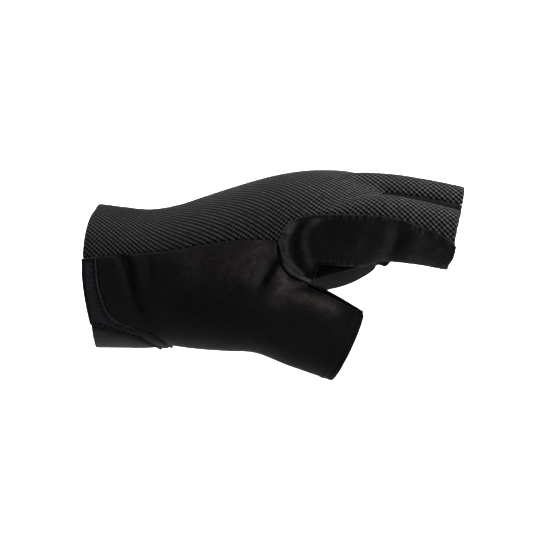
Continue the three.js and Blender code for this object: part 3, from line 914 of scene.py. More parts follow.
def knit_strips():
    """Mesh of the back laid along the knit's rows: one strip for each finger, with its weave."""
    fine_x = np.arange(KNIT_FROM, KNIT_TO, STATION_STEP)
    along = np.cumsum(STATION_STEP / column(WEAVE, "long", fine_x))
    u = np.arange(0, along[-1] * FINE) / FINE
    x = np.interp(u, along, fine_x)
    climb = np.interp(x, fine_x, np.cumsum(STATION_STEP * column(SLANT, "rise", fine_x)))
    dv = WEAVE_ROUND / FINE
    step = TRACE_STEP
    ridges = [column(RIDGES, name, x) for name in FINGERS]
    middles = [None] + [(ridges[k] + ridges[k + 1]) / 2 for k in range(3)] + [None]
    lines = []
    for place, (near, far) in zip(ridges, TRACE_COUNTS):
        start = ridge(x, place)
        lines.append((traced(start, -1, near, step), traced(start, 1, far, step)))

    def half_arc(line, middle, way):
        """Length from the ridge to the middle between two fingers."""
        past = way * (line[:, :, 1] - middle) > 0
        i = np.maximum(past.argmax(0), 1)
        rows = np.arange(line.shape[1])
        a, b = line[i - 1, rows, 1], line[i, rows, 1]
        length = step * (i - 1 + (middle - a) / np.where(b == a, 1, b - a))
        return np.where(past.any(0), length, np.nan)

    last = np.searchsorted(x, JOINED_TO)
    split = np.searchsorted(x, SPLIT_AT)
    gaps, scales = [], []
    for k in range(3):
        total = half_arc(lines[k][1], middles[k + 1], 1)
        total = total + half_arc(lines[k + 1][0], middles[k + 1], -1)
        whole = total[last]
        gap = np.where(np.arange(len(x)) <= last, total, whole)
        scale = np.where(np.arange(len(x)) <= last, 1, whole / total)
        free = smoothstep(x, x[split], x[split] + FREED_IN)
        scale = np.where(np.arange(len(x)) <= split, scale, scale[split] + (1 - scale[split]) * free)
        gaps.append(gap)
        scales.append(scale)
    at = [-gaps[0], 0 * x, gaps[1], gaps[1] + gaps[2]]
    strips = []
    for k, (near, far) in enumerate(TRACE_COUNTS):
        left = scales[k - 1] if k else 1 + 0 * x
        right = scales[k] if k < 3 else 1 + 0 * x
        line = np.concatenate([lines[k][0][::-1], lines[k][1][1:]])
        reach = np.arange(-near, far + 1) * step
        v = at[k] + np.where(reach[:, None] < 0, left, right) * reach[:, None] - climb
        low, high = math.ceil(v.min() / dv), math.floor(v.max() / dv)
        rows = dv * np.arange(low, high + 1)
        grid = np.full((len(x), len(rows), 5), np.nan)
        for i in range(len(x)):
            inside = (rows >= v[0, i]) & (rows <= v[-1, i])
            for axis in range(3):
                grid[i, inside, axis] = np.interp(rows[inside], v[:, i], line[:, i, axis])
            grid[i, inside, 3] = u[i]
            grid[i, inside, 4] = rows[inside] / WEAVE_ROUND
        index = np.arange(grid.shape[0] * grid.shape[1]).reshape(grid.shape[:2])
        a, b, c, d = index[:-1, :-1], index[1:, :-1], index[1:, 1:], index[:-1, 1:]
        quads = np.stack([a, d, c, b], -1).reshape(-1, 4)
        points = grid.reshape(-1, 5)
        quads = quads[~np.isnan(points[quads, 0]).any(1)]
        mesh = (np.nan_to_num(points), halves(quads))
        rules = [above_back, inside_ends]
        if k:
            rules.append(lambda p, k=k: p[:, 1] - np.interp(p[:, 0], x, middles[k]) + SEAM)
        if k < 3:
            rules.append(lambda p, k=k: np.interp(p[:, 0], x, middles[k + 1]) - p[:, 1] + SEAM)
        strips.append(part(mesh, *rules))
    return strips


def knit_height(uv):
    """Height of the knit: small slanting holes between raised loops."""
    a, b = uv[:, 0] + uv[:, 1], uv[:, 0] - uv[:, 1]
    a, b = a - np.round(a), b - np.round(b)
    hole = np.exp(-((a / HOLE_HALF[0]) ** 2) - (b / HOLE_HALF[1]) ** 2)
    return LOOP_HIGH - HOLE_DEEP * hole


# Materials. Colours are linear, and sizes of noise are in waves to a metre.
CLOTH_SHINE = 0.06             # level of the plain reflection, and the same for the knit
KNIT_SHINE = 0.12
SHEEN_ROUGH = 0.45
NAP, GRIT = 300, 1500          # coarse and fine noise of the suede
NAP_SHARE, GRIT_SHARE = 0.4, 0.6
NAP_RANGE = (0.34, 0.68)       # from dark to light nap in the mixed noise
PALE_NAP_RANGE = (0.3, 0.62)       # from none to all of the paler colour over the nap's noise
NAP_DEEP = 0.00014             # depth of the grain in metres
SUEDE_ROUGH = 0.85
PAINTED_SHADE_TONE = 0.15             # painted shade goes down to this share of the dark colour
KNIT_DARK = (0.0005, 0.0005, 0.0005)
KNIT_LIGHT = (0.128, 0.124, 0.122)
LINER_COLOUR = (0.002, 0.002, 0.002)
KNIT_HOLE = (0.35, 0.44)       # half widths of the dark holes along both slants, in stitches
FIBRE, UNEVEN = 2600, 520      # noise of the fibres, and from loop to loop
LOOP_RANGE = (0.95, 2.0)       # a hole's edge, from dark to light
FIBRE_RANGE = (0.25, 0.6)      # shade of the fibres
UNEVEN_RANGE = (0.3, 0.7)      # noise that makes the loops darker or lighter,
UNEVEN_TONE = (0.72, 1.3)      # by these factors
FIBRE_DEEP = 0.00012
FIBRE_SHARE = 0.6              # height of the fibres for that of the loops
LOOP_ROUGH = 0.45
TWIST, TWIST_DEEP = 3000, 0.00004  # the threads' fine relief
GLOVE_END = 160.0
# Painted light and shade on the loops along the glove, darker towards the cuff: station and share.
KNIT_PAINTED_LIGHT = [(35, 0.34), (53, 0.52), (78, 0.54), (106, 0.97)]
# Suedes, by name: dark and light nap; a paler colour, blended in mostly as painted highlights; sheen;
# shine.
SUEDES = {
    "suede": {
        "dark": (0.0034, 0.0031, 0.0029), "light": (0.007, 0.0063, 0.0059),
        "pale_and_painted_highlight": (0.05, 0.044, 0.042), "sheen": 0.05,
    },
    "side_suede": {
        "dark": (0.0032, 0.0031, 0.0031), "light": (0.0066, 0.0064, 0.0064),
        "pale_and_painted_highlight": (0.045, 0.044, 0.0445), "sheen": 0.05,
    },
    "palm_suede": {
        "dark": (0.0048, 0.0043, 0.0042), "light": (0.0098, 0.009, 0.0085),
        "pale_and_painted_highlight": (0.06, 0.055, 0.052), "sheen": 0.018, "shine": 0.015,
    },
    "gusset_suede": {
        "dark": (0.008, 0.0072, 0.007), "light": (0.017, 0.0148, 0.0142),
        "pale_and_painted_highlight": (0.03, 0.027, 0.026), "sheen": 0.06,
    },
    "binding_tape": {
        "dark": (0.0068, 0.0068, 0.009), "light": (0.0155, 0.0155, 0.02),
        "pale_and_painted_highlight": (0.045, 0.045, 0.056), "sheen": 0.06,
    },
    "stretch_cloth": {
        "dark": (0.01, 0.0095, 0.0115), "light": (0.024, 0.0225, 0.0265), "sheen": 0.06,
    },
}
THREADS = {"thread": (0.011, 0.0105, 0.0105), "tape_thread": (0.0145, 0.0145, 0.019)}


def cloth(name, colour, roughness, sheen=0.0, shine=CLOTH_SHINE):
    """A plain cloth shader to build on: returns the material, its node tree and the shader."""
    material = bpy.data.materials.new(name)
    material.use_nodes = True
    shader = material.node_tree.nodes["Principled BSDF"]
    shader.inputs["Base Color"].default_value = (*colour, 1)
    shader.inputs["Roughness"].default_value = roughness
    shader.inputs["Sheen Weight"].default_value = sheen
    shader.inputs["Sheen Roughness"].default_value = SHEEN_ROUGH
    shader.inputs["Sheen Tint"].default_value = (1, 1, 1, 1)
    shader.inputs["Specular IOR Level"].default_value = shine
    return material, material.node_tree, shader


def add(tree, kind, inputs=(), **settings):
    """A node with its settings and inputs, linked where an input is another node's socket."""
    node = tree.nodes.new(kind)
    for key, value in settings.items():
        setattr(node, key, value)
    for key, value in dict(inputs).items():
        if isinstance(value, bpy.types.NodeSocket):
            tree.links.new(value, node.inputs[key])
        else:
            node.inputs[key].default_value = value
    return node


def maths(tree, operation, *values):
    """One sum on numbers or sockets."""
    return add(tree, "ShaderNodeMath", enumerate(values), operation=operation).outputs[0]


def blend(tree, factor, dark, light):
    """Colour between two others."""
    node = add(tree, "ShaderNodeMix", {"Factor": factor}, data_type="RGBA")
    for name, colour in (("A", dark), ("B", light)):
        if isinstance(colour, bpy.types.NodeSocket):
            tree.links.new(colour, node.inputs[name])
        else:
            node.inputs[name].default_value = (*colour, 1)
    return node.outputs["Result"]


def noise(tree, scale, detail=2.0, rough=0.5):
    """Noise fixed to the piece."""
    place = add(tree, "ShaderNodeTexCoord").outputs["Object"]
    inputs = {"Vector": place, "Scale": scale, "Detail": detail, "Roughness": rough}
    return add(tree, "ShaderNodeTexNoise", inputs).outputs["Fac"]


def ramp(tree, value, low, high, start=0.0, stop=1.0):
    """A value brought from one range to another, by default from 0 to 1."""
    inputs = {"Value": value, "From Min": low, "From Max": high, "To Min": start, "To Max": stop}
    return add(tree, "ShaderNodeMapRange", inputs).outputs["Result"]


def bump(tree, shader, height, distance, strength=1.0):
    """Fine relief on a shader."""
    inputs = {"Height": height, "Distance": distance, "Strength": strength}
    tree.links.new(add(tree, "ShaderNodeBump", inputs).outputs["Normal"], shader.inputs["Normal"])


def suede(name, dark, light, sheen, pale_and_painted_highlight=None, shine=CLOTH_SHINE):
    """Fine synthetic suede: mottled nap with a short fuzzy grain, painted paler or darker by point
    values, mostly as painted highlights and shade.
    """
    material, tree, shader = cloth(name, dark, SUEDE_ROUGH, sheen, shine)
    nap = maths(tree, "MULTIPLY", noise(tree, NAP, detail=3, rough=0.6), NAP_SHARE)
    grit = maths(tree, "MULTIPLY", noise(tree, GRIT, detail=3, rough=0.75), GRIT_SHARE)
    mixed = maths(tree, "ADD", nap, grit)
    colour = blend(tree, ramp(tree, mixed, *NAP_RANGE), dark, light)
    if pale_and_painted_highlight:
        # Point values above 0 blend in the paler colour, mostly as painted highlights.
        tone_and_painted_light = add(tree, "ShaderNodeAttribute", attribute_name="tone_and_painted_light").outputs["Fac"]
        patchy = maths(tree, "MULTIPLY", tone_and_painted_light, ramp(tree, mixed, *PALE_NAP_RANGE))
        colour = blend(tree, patchy, colour, pale_and_painted_highlight)
        # Point values below 0 darken towards a share of the dark colour: painted shade.
        deep = [PAINTED_SHADE_TONE * value for value in dark]
        colour = blend(tree, maths(tree, "MULTIPLY", tone_and_painted_light, -1.0), colour, deep)
    tree.links.new(colour, shader.inputs["Base Color"])
    bump(tree, shader, mixed, NAP_DEEP)
    return material


def knit(name, dark, light):
    """Ribbed mesh knit: the holes are dark, the loops catch the light, and painted shade darkens them
    towards the cuff.
    """
    material, tree, shader = cloth(name, light, roughness=0.6, sheen=0.1, shine=KNIT_SHINE)
    uv = add(tree, "ShaderNodeUVMap", uv_map="weave").outputs["UV"]
    parts = add(tree, "ShaderNodeSeparateXYZ", {"Vector": uv})
    u, v = parts.outputs["X"], parts.outputs["Y"]

    def off(value):
        """Distance from the nearest whole number."""
        return maths(tree, "PINGPONG", value, 0.5)

    a = maths(tree, "DIVIDE", off(maths(tree, "ADD", u, v)), KNIT_HOLE[0])
    b = maths(tree, "DIVIDE", off(maths(tree, "SUBTRACT", u, v)), KNIT_HOLE[1])
    far = maths(tree, "ADD", maths(tree, "MULTIPLY", a, a), maths(tree, "MULTIPLY", b, b))
    loop = ramp(tree, far, *LOOP_RANGE)
    fibre = noise(tree, FIBRE, rough=0.6)
    shade = maths(tree, "MULTIPLY", loop, ramp(tree, fibre, *FIBRE_RANGE))
    uneven = ramp(tree, noise(tree, UNEVEN, detail=1), *UNEVEN_RANGE, *UNEVEN_TONE)
    shade = maths(tree, "MULTIPLY", shade, uneven)
    # Painted light and shade: the loops are painted darker towards the cuff and lighter towards the
    # fingers.
    place = add(tree, "ShaderNodeTexCoord").outputs["Object"]
    along = add(tree, "ShaderNodeSeparateXYZ", {"Vector": place}).outputs["X"]
    share = ramp(tree, along, 0, GLOVE_END * MM)
    painted_light_ramp = add(tree, "ShaderNodeValToRGB", {"Fac": share})
    stops = painted_light_ramp.color_ramp.elements
    for _ in KNIT_PAINTED_LIGHT[2:]:
        stops.new(0.5)
    for stop, (x, value) in zip(stops, KNIT_PAINTED_LIGHT):
        stop.position = x / GLOVE_END
        stop.color = (value, value, value, 1)
    shade = maths(tree, "MULTIPLY", shade, painted_light_ramp.outputs["Color"])
    tree.links.new(ramp(tree, loop, 0, 1, 1.0, LOOP_ROUGH), shader.inputs["Roughness"])
    tree.links.new(blend(tree, shade, dark, light), shader.inputs["Base Color"])
    relief = maths(tree, "ADD", loop, maths(tree, "MULTIPLY", fibre, FIBRE_SHARE))
    bump(tree, shader, relief, FIBRE_DEEP, strength=0.6)
    return material


def thread(name, colour):
    """Twisted sewing thread."""
    material, tree, shader = cloth(name, colour, roughness=0.7, sheen=0.02)
    bump(tree, shader, noise(tree, TWIST, detail=1), TWIST_DEEP)
    return material


def make_materials():
    """Every material of the glove, by name."""
    made = {"mesh_knit": knit("mesh_knit", KNIT_DARK, KNIT_LIGHT)}
    made["mesh_liner"] = cloth("mesh_liner", LINER_COLOUR, roughness=0.9)[0]
    for name, looks in SUEDES.items():
        made[name] = suede(name, **looks)
    for name, colour in THREADS.items():
        made[name] = thread(name, colour)
    return made


# Camera at the photograph's angle: the glove seen from the thumb side, a little from above.
DISTANCE = 1400.0
PIXEL = 0.42                   # mm on the glove to a pixel of the photo
NEARER = 30.0                  # the side that is seen stands this far in front of the middle
MM_PER_PIXEL = PIXEL * (1 + NEARER / DISTANCE)
CENTRE = (77.0, 0.0, 0.0)      # this place of the glove is seen at the pixel below
CENTRE_PIXEL = (273.33, 275.5)
IMAGE = 550                    # pixels along each side of the picture


def make_camera():
    """The scene's camera."""
    data = bpy.data.cameras.new("camera")
    camera = bpy.data.objects.new("camera", data)
    bpy.context.scene.collection.objects.link(camera)
    data.sensor_width = 36
    data.lens = data.sensor_width * DISTANCE / (MM_PER_PIXEL * IMAGE)
    back = Vector((0, -math.cos(SIDE_TILT), math.sin(SIDE_TILT)))
    aim = Vector(CENTRE)
    aim += Vector((1, 0, 0)) * (IMAGE / 2 - CENTRE_PIXEL[0]) * MM_PER_PIXEL
    aim -= Vector(SIDE_UP) * (IMAGE / 2 - CENTRE_PIXEL[1]) * MM_PER_PIXEL
    camera.location = (aim + back * DISTANCE) * MM
    camera.rotation_mode = "QUATERNION"
    camera.rotation_quaternion = (-back).to_track_quat("-Z", "Y")
    data.clip_start, data.clip_end = 0.1, 20
    bpy.context.scene.camera = camera


# Lamps in metres: name, place, the place it is turned to, power, size and spread in degrees.
# Key and top light the glove. The ground lamps keep the floor round it white.
LAMPS = [
    ("key", (1.1, -0.4, 1.0), (0.07, 0, 0), 16, 0.5, 180),
    ("top", (0.6, 0.3, 1.3), (0.07, 0, 0), 7.4, 0.7, 180),
    ("ground", (0.2, 1.6, 1.6), (0.2, 1.6, 0), 58, 2.0, 80),
    ("ground_near", (0.0, -2.9, 1.6), (0.0, -2.9, 0), 85, 2.6, 80),
    ("ground_left", (-2.9, 0.0, 1.6), (-2.9, 0.0, 0), 85, 2.6, 80),
    ("ground_right", (2.9, 0.0, 1.6), (2.9, 0.0, 0), 85, 2.6, 80),
]
FLOOR_LEVEL = -0.3
FLOOR_HALF = 8.0
FLOOR_COLOUR = (0.9, 0.9, 0.9)
SKY_HIGH, SKY_LOW = 1.6, 0.4   # brightness overhead and above the pale backdrop
BACKDROP = 13.0                # brightness of the backdrop at the horizon
BACKDROP_TOP = 0.13            # the backdrop fades out up to this height, as a share of the sky


def make_stage():
    """Pale floor below the glove, clear from below, a light sky and six soft lamps."""
    mesh = bpy.data.meshes.new("floor")
    half = FLOOR_HALF
    places = ((-half, -half), (half, -half), (half, half), (-half, half))
    corners = [(x, y, FLOOR_LEVEL) for x, y in places]
    mesh.from_pydata(corners, [], [(0, 1, 2, 3)])
    floor = bpy.data.objects.new("floor", mesh)
    bpy.context.scene.collection.objects.link(floor)
    paint, tree, shader = cloth("floor_paint", FLOOR_COLOUR, roughness=0.8)
    mesh.materials.append(paint)
    under = add(tree, "ShaderNodeNewGeometry").outputs["Backfacing"]
    clear = add(tree, "ShaderNodeBsdfTransparent").outputs["BSDF"]
    inputs = {0: under, 1: shader.outputs["BSDF"], 2: clear}
    seen = add(tree, "ShaderNodeMixShader", inputs).outputs["Shader"]
    tree.links.new(seen, tree.nodes["Material Output"].inputs["Surface"])
    world = bpy.data.worlds.new("sky")
    bpy.context.scene.world = world
    world.use_nodes = True
    tree = world.node_tree
    way = add(tree, "ShaderNodeTexCoord").outputs["Generated"]
    height = add(tree, "ShaderNodeSeparateXYZ", {"Vector": way}).outputs["Z"]
    light = ramp(tree, height, 0, 1, SKY_LOW, SKY_HIGH)
    band = ramp(tree, height, BACKDROP_TOP, BACKDROP_TOP / 2, 0, BACKDROP)
    strength = maths(tree, "ADD", light, band)
    tree.links.new(strength, tree.nodes["Background"].inputs["Strength"])
    for name, place, aim, power, size, spread in LAMPS:
        data = bpy.data.lights.new(name, "AREA")
        data.energy = power
        data.size = size
        data.spread = math.radians(spread)
        lamp = bpy.data.objects.new(name, data)
        lamp.location = place
        lamp.rotation_mode = "QUATERNION"
        lamp.rotation_quaternion = (Vector(aim) - lamp.location).to_track_quat("-Z", "Y")
        bpy.context.scene.collection.objects.link(lamp)
    scene = bpy.context.scene
    scene.view_settings.view_transform = "Standard"
    scene.view_settings.look = "None"


# Soft folds in the side view: half width, height, line.
THUMB_FOLDS = [
    (2.0, -1.9, [
        (12.2, 24), (13, 14), (13.6, 9), (15.5, 3.6), (17.6, -4), (20.1, -11.6), (23.5, -16.6),
        (27.3, -23.3),
    ]),
    (2.6, 0.45, [(10, 11), (10.8, 4), (12.4, -3), (14, -10)]),
    (2.0, 0.6, [(18.6, 12), (19.6, 4), (21.4, -4), (23.4, -11)]),
    (1.6, -0.5, [(24, 12), (24.6, 6), (25.4, 0), (26.4, -8)]),
    (1.5, -2.2, [(82, 14), (79.2, 7), (76, 1.5), (72.2, -4), (69, -9)]),
    (2.3, 1.3, [(76, 13.5), (73.2, 6), (69.6, -1), (65.6, -8)]),
    (2.0, 0.8, [(84.4, 4), (81.4, -1), (78, -6), (74, -11)]),
    (2.5, -0.7, [(68.5, 14), (66, 7), (63, 1), (60, -4)]),
    (3, 0.7, [(60, 15), (57.5, 8), (55, 2), (52, -4)]),
    (2.4, -0.5, [(49, 12.5), (47.5, 7), (46, 2), (44.5, -3)]),
    (3, 0.5, [(40, 11), (39, 5), (38.4, 0), (38, -5)]),
]
SIDE_FOLDS = [
    (1.5, 0.6, [(87, 23), (83, 18.5), (81.3, 13), (81.8, 8), (84, 4.5), (87, 2)]),
    (1.6, -0.9, [(92.5, 23), (88.2, 19), (86, 14), (86.2, 8), (88.4, 3), (91, 0)]),
    (1.4, 1.0, [(98, 23.5), (92.6, 20.5), (90.2, 15.5), (90.4, 11), (92, 7), (94, 4)]),
    (2.2, 0.5, [(125, 20), (123.4, 15), (122.6, 11), (122, 6)]),
    (1.8, -0.7, [(129.6, 20), (128, 15), (127, 11), (126.6, 6)]),
    (2.6, 0.45, [(138, 18), (135.6, 13), (134.2, 9), (133.6, 5)]),
    (2.2, -0.4, [(118, 22), (115.5, 16), (114.5, 11), (114.5, 6)]),
    (5, -0.8, [(94, 17), (102, 16), (108, 14.5), (113, 12)]),
]
# Painted highlights in the side view, and painted shade below 0: half width, amount, line.
THUMB_PAINTED_LIGHT = [
    (9, 0.3, [(46, 6), (58, 6), (66, 5)]),
    (4.6, 0.7, [(71.5, 12), (70, 6), (69, 1)]),
    (3.4, 0.95, [(80.8, 2), (81.5, -3.5), (87, -7), (95, -10), (102, -13)]),
    (1.6, 0.9, [(79, 12), (78.8, 7)]),
    (4, 0.4, [(79.5, -3), (78.5, -10)]),
    (4, 0.2, [(30, -30), (45, -30), (60, -32), (75, -36)]),
    (2.2, -0.5, [
        (13, 14), (13.6, 9), (15.5, 3.6), (17.6, -4), (20.1, -11.6), (23.5, -17), (27.5, -24),
    ]),
    (3, -0.2, [(22, 6), (24, -2), (26, -10)]),
    (1.6, -0.85, [(81.6, 13), (79, 7), (76, 1.5), (73.4, -2.4)]),
]
SIDE_PAINTED_LIGHT = [
    (2.3, 1.1, [(84.5, 20.5), (81.4, 15.5), (81, 10), (82.4, 6.6), (85, 3.8), (89, 1)]),
    (1.6, -0.7, [(91.5, 22), (87.2, 18.5), (85.6, 13), (85.8, 8), (88, 4), (92, 0)]),
    (1.3, 0.5, [(96, 23), (91.4, 19.8), (89.6, 15), (89.8, 10.5), (91.6, 6.4), (94, 3.6)]),
    (4, 0.12, [(117, 20), (114, 14), (112, 8)]),
    (3.4, 0.34, [(127, 19), (124.4, 13), (122, 7)]),
    (2.6, -0.25, [(131.5, 17), (130, 12), (129.6, 7)]),
    (4.5, 0.3, [(138.5, 15), (136.6, 10), (136, 5)]),
    (4, 0.24, [(146, 10), (144, 6), (143, 3)]),
]
PALM_PAINTED_LIGHT = [
    (2.2, 1.0, [(82, 4), (86, 0.6), (91, -2), (97, -4.6), (104, -8)]),
    (1.8, 1.4, [(90, -2), (97, -5), (104, -8.5)]),
]
PUCKER = 1.75                  # the seam allowance is drawn up once a stitch
PUCKER_HALF = 0.9
FLECK = (1.3, 1.75)            # spacing of the flecks along both slants
FLECK_FADE = 0.7               # they fade out from this share of their reach
GROOVE = (0.35, 0.45)          # depth and half width of the groove that stitches lie in
EDGE = (0.35, 0.9)             # depth and width of a sewn edge
# Half width of the painted shadow line down the thumb's crotch.
CREASE_PAINTED_SHADOW = table(
    "x wide",
    (79, 0.5), (83, 0.6), (88, 0.8), (97, 0.75), (101, 0.35), (107, 0.14), (115, 0.12),
)
CREASE_WIDE = 1.3              # half width of the hollow it lies in
CREASE_DEEP = 0.9
CREASE_FROM = 78.4             # station where both start
CREASE_Y = -5.0                # they stay on the thumb side of this
CREASE_TURN = 89.0             # the seam runs under the index finger's root here, without a hollow
CREASE_FLAT = (1.8, 4)         # which comes back between these distances from there


def crotch(p):
    """How near points are to the seam in the thumb's crotch, from 0 to 1: its hollow, and its line of
    painted shadow.
    """
    above = p[:, 2] > column(TUBES["thumb"], "z", p[:, 0])
    near = (p[:, 0] > CREASE_FROM) & (p[:, 1] < CREASE_Y) & above
    gap = np.abs(on_thumb(p))
    wide = column(CREASE_PAINTED_SHADOW, "wide", p[:, 0])
    flat = smoothstep(np.abs(p[:, 0] - CREASE_TURN), *CREASE_FLAT)
    deep = near * flat * (1 - smoothstep(gap, 0, CREASE_WIDE))
    # A line of painted shadow along the seam, where the crease is dark.
    dark = near * (1 - smoothstep(gap, wide / 2, wide))
    return deep, dark


def seam_puckers(view, gap, line, at):
    """Small swellings between the stitches of a seam."""
    share = line_distance(view, line)[1]
    along = share * np.sum(np.linalg.norm(np.diff(line, axis=0), axis=1))
    return hump(gap, np.cos(2 * math.pi * along / PUCKER), at, PUCKER_HALF)


def flecks(p, gap, wide):
    """Light and dark flecks of the overcast cloth along a seam."""
    up = p[:, 2] + p[:, 1]
    rising = np.cos(2 * math.pi * (p[:, 0] + up) / FLECK[0])
    falling = np.cos(2 * math.pi * (p[:, 0] - up) / FLECK[1])
    return rising * falling * (1 - smoothstep(gap, FLECK_FADE * wide, wide))


def edge_roll(gap, deep=EDGE[0], wide=EDGE[1]):
    """A sewn edge turned down towards its seam."""
    return -deep * np.clip(1 - gap / wide, 0, 1) ** 2


def stitch_groove(gap, at, deep=GROOVE[0], wide=GROOVE[1]):
    """A groove along a row of stitches."""
    return hump(gap, -deep, at, wide)


# Each panel has its own measures below. A hump is given as height, place and half width.

# Thumb panel.
THUMB_FINE = 4.0               # the mesh is halved this near the panel's border
THUMB_FOLDED = 0.1             # and where folds are higher or deeper than this
THUMB_FOLDED_Y = -10.0         # on the thumb side
THUMB_CLEAR = 1.5              # the folds fade out this near a seam
THUMB_HEM = 2.6                # stitches this far back from the thumb's end
THUMB_GROOVE = (0.4, 0.5)      # their groove, and the swelling of the cloth behind it
THUMB_SWELL = (0.3, 0.6, 0.8)
TOP_EDGE = (1, -0.4, 0.3)      # the edge along the knit is pale
TOP_EDGE_PALE = 0.35
TOP_EDGE_FADE = (70, 20)       # less and less between these stations


def make_thumb(cloth_left):
    """Thumb panel with its folds, a stitched hem, a pale upper edge, painted highlights and shade, and
    painted shadow in the crotch.
    """
    thumb = part(cloth_left, on_thumb)
    points = thumb[0]
    creased = np.abs(folded(side_view(points), THUMB_FOLDS)) > THUMB_FOLDED
    close = border_distance(*thumb) < THUMB_FINE
    thumb = refined(thumb, close | creased & (points[:, 1] < THUMB_FOLDED_Y))
    points = thumb[0]
    view = side_view(points)
    gap = border_distance(*thumb)
    back = -end_place(points)[0]
    deep, dark = crotch(points)
    lift = edge_roll(gap) + folded(view, THUMB_FOLDS) * smoothstep(gap, 0, THUMB_CLEAR)
    lift += stitch_groove(back, THUMB_HEM - HEM, *THUMB_GROOVE) + hump(back - THUMB_HEM, *THUMB_SWELL)
    lift -= CREASE_DEEP * deep
    top_edge = hump(above_back(points), *TOP_EDGE) * smoothstep(view[:, 0], *TOP_EDGE_FADE)
    # Painted highlights and shade on the folds, a pale upper edge, and the crotch's line of painted
    # shadow.
    tone_and_painted_light = (folded(view, THUMB_PAINTED_LIGHT, False) + TOP_EDGE_PALE * top_edge) * (1 - dark) - dark
    panel("thumb_panel_suede", thumb, lift, "suede", ["thumb_panel"], tone_and_painted_light)


# Index side panel.
SIDE_LIFT = 0.45               # it is laid over the knit this high
SIDE_EDGE = (0.4, 0.7)
SIDE_INSET = 1.6               # its stitches are this far from its edge
SIDE_CLEAR = 2.0               # its folds fade out this near the edge
SIDE_PUCKER = 0.14             # height of the puckers along the seam
# Painted light on the puckers: paler crests and darker dips.
SIDE_PUCKER_PAINTED_LIGHT = 0.3
CORNER_X = ((105, 100), (88.5, 92))  # the corner over the thumb's crotch fades between these places
CORNER_UP = (6.5, 4.5)
CORNER_LIFT = (-0.4, 0, 1.5)
# Painted shade over the corner above the thumb's crotch.
CORNER_PAINTED_SHADE = (-1.3, 0, 2.4)
PIPED = (1, 0.35, 0.3)         # the very edge is pale
PIPED_PALE = 0.3
FLECK_REACH = 2.5              # the flecks reach this far in from the edge
FLECK_HIGH = 0.1
FLECK_PALE = 0.75
HEM_REACH = 2.1                # the seam allowance is this wide
HEM_PALE = 0.15


def make_side(cloth_left):
    """Index side panel with a flecked edge, a row of puckered stitches, and painted highlights and shade
    on folds and puckers.
    """
    side = part(cloth_left, on_side)
    side = refined(side, np.ones(len(side[0]), bool))
    points = side[0]
    view = side_view(points)
    x, up = view.T
    gap = border_distance(*side)
    puckers = seam_puckers(view, gap, curve(MESH_SEAM), SIDE_INSET)
    puckers += seam_puckers(view, gap, curve(SIDE_UNDER_SEAM), SIDE_INSET)
    corner = smoothstep(x, *CORNER_X[0]) * smoothstep(x, *CORNER_X[1]) * smoothstep(up, *CORNER_UP)
    piped = hump(gap, *PIPED) * (1 - corner)
    to_end = np.maximum(-end_place(points)[0], 0)
    fleck = flecks(points, np.minimum(gap, to_end), FLECK_REACH)
    lift = SIDE_LIFT + edge_roll(gap, *SIDE_EDGE) + stitch_groove(gap, SIDE_INSET)
    lift += folded(view, SIDE_FOLDS) * smoothstep(gap, 0, SIDE_CLEAR)
    lift += SIDE_PUCKER * puckers
    lift += FLECK_HIGH * fleck + corner * hump(gap, *CORNER_LIFT)
    # Painted highlights and shade on the folds and puckers, a pale piped edge, flecks and a pale seam
    # allowance.
    tone_and_painted_light = folded(view, SIDE_PAINTED_LIGHT, False) + SIDE_PUCKER_PAINTED_LIGHT * puckers + PIPED_PALE * piped
    tone_and_painted_light += FLECK_PALE * fleck
    tone_and_painted_light += HEM_PALE * (gap < HEM_REACH)
    # Painted shade in the corner.
    tone_and_painted_light += corner * hump(gap, *CORNER_PAINTED_SHADE)
    panel("index_side_suede", side, lift, "side_suede", ["index_side_panel"], tone_and_painted_light)


# Palm.
PALM_FINE = 5.0                # the mesh is halved this near the crease
PALM_FINE_X = 76.0             # from this station on
WEB_FROM = 78.0                # the strip beside the crease starts at this station,
WEB_Y = -10.0                  # stays on the thumb side of this,
WEB_OVER = 3.0                 # this high over the middle of the thumb,
WEB_TO = 0.3                   # and up to this far past the side panel's edge
PALM_PAINTED_SHADE = -0.6               # painted shade: the palm is painted darker than its sides below the fingers
PALM_PAINTED_SHADE_X = (84, 98)
UNDER_SIDE = (1, 0, 3.5)       # and painted shade along the side panel
UNDER_SIDE_DARK = 0.35
UNDER_SIDE_X = (93, 95)
FAR_SHADE = [(92, -4), (113, 4.3)]  # painted shade on its far part along this line of the side view
FAR_HUMP = (1, 0, 2.6)
FAR_Y = -5.0
FAR_DARK = 0.5


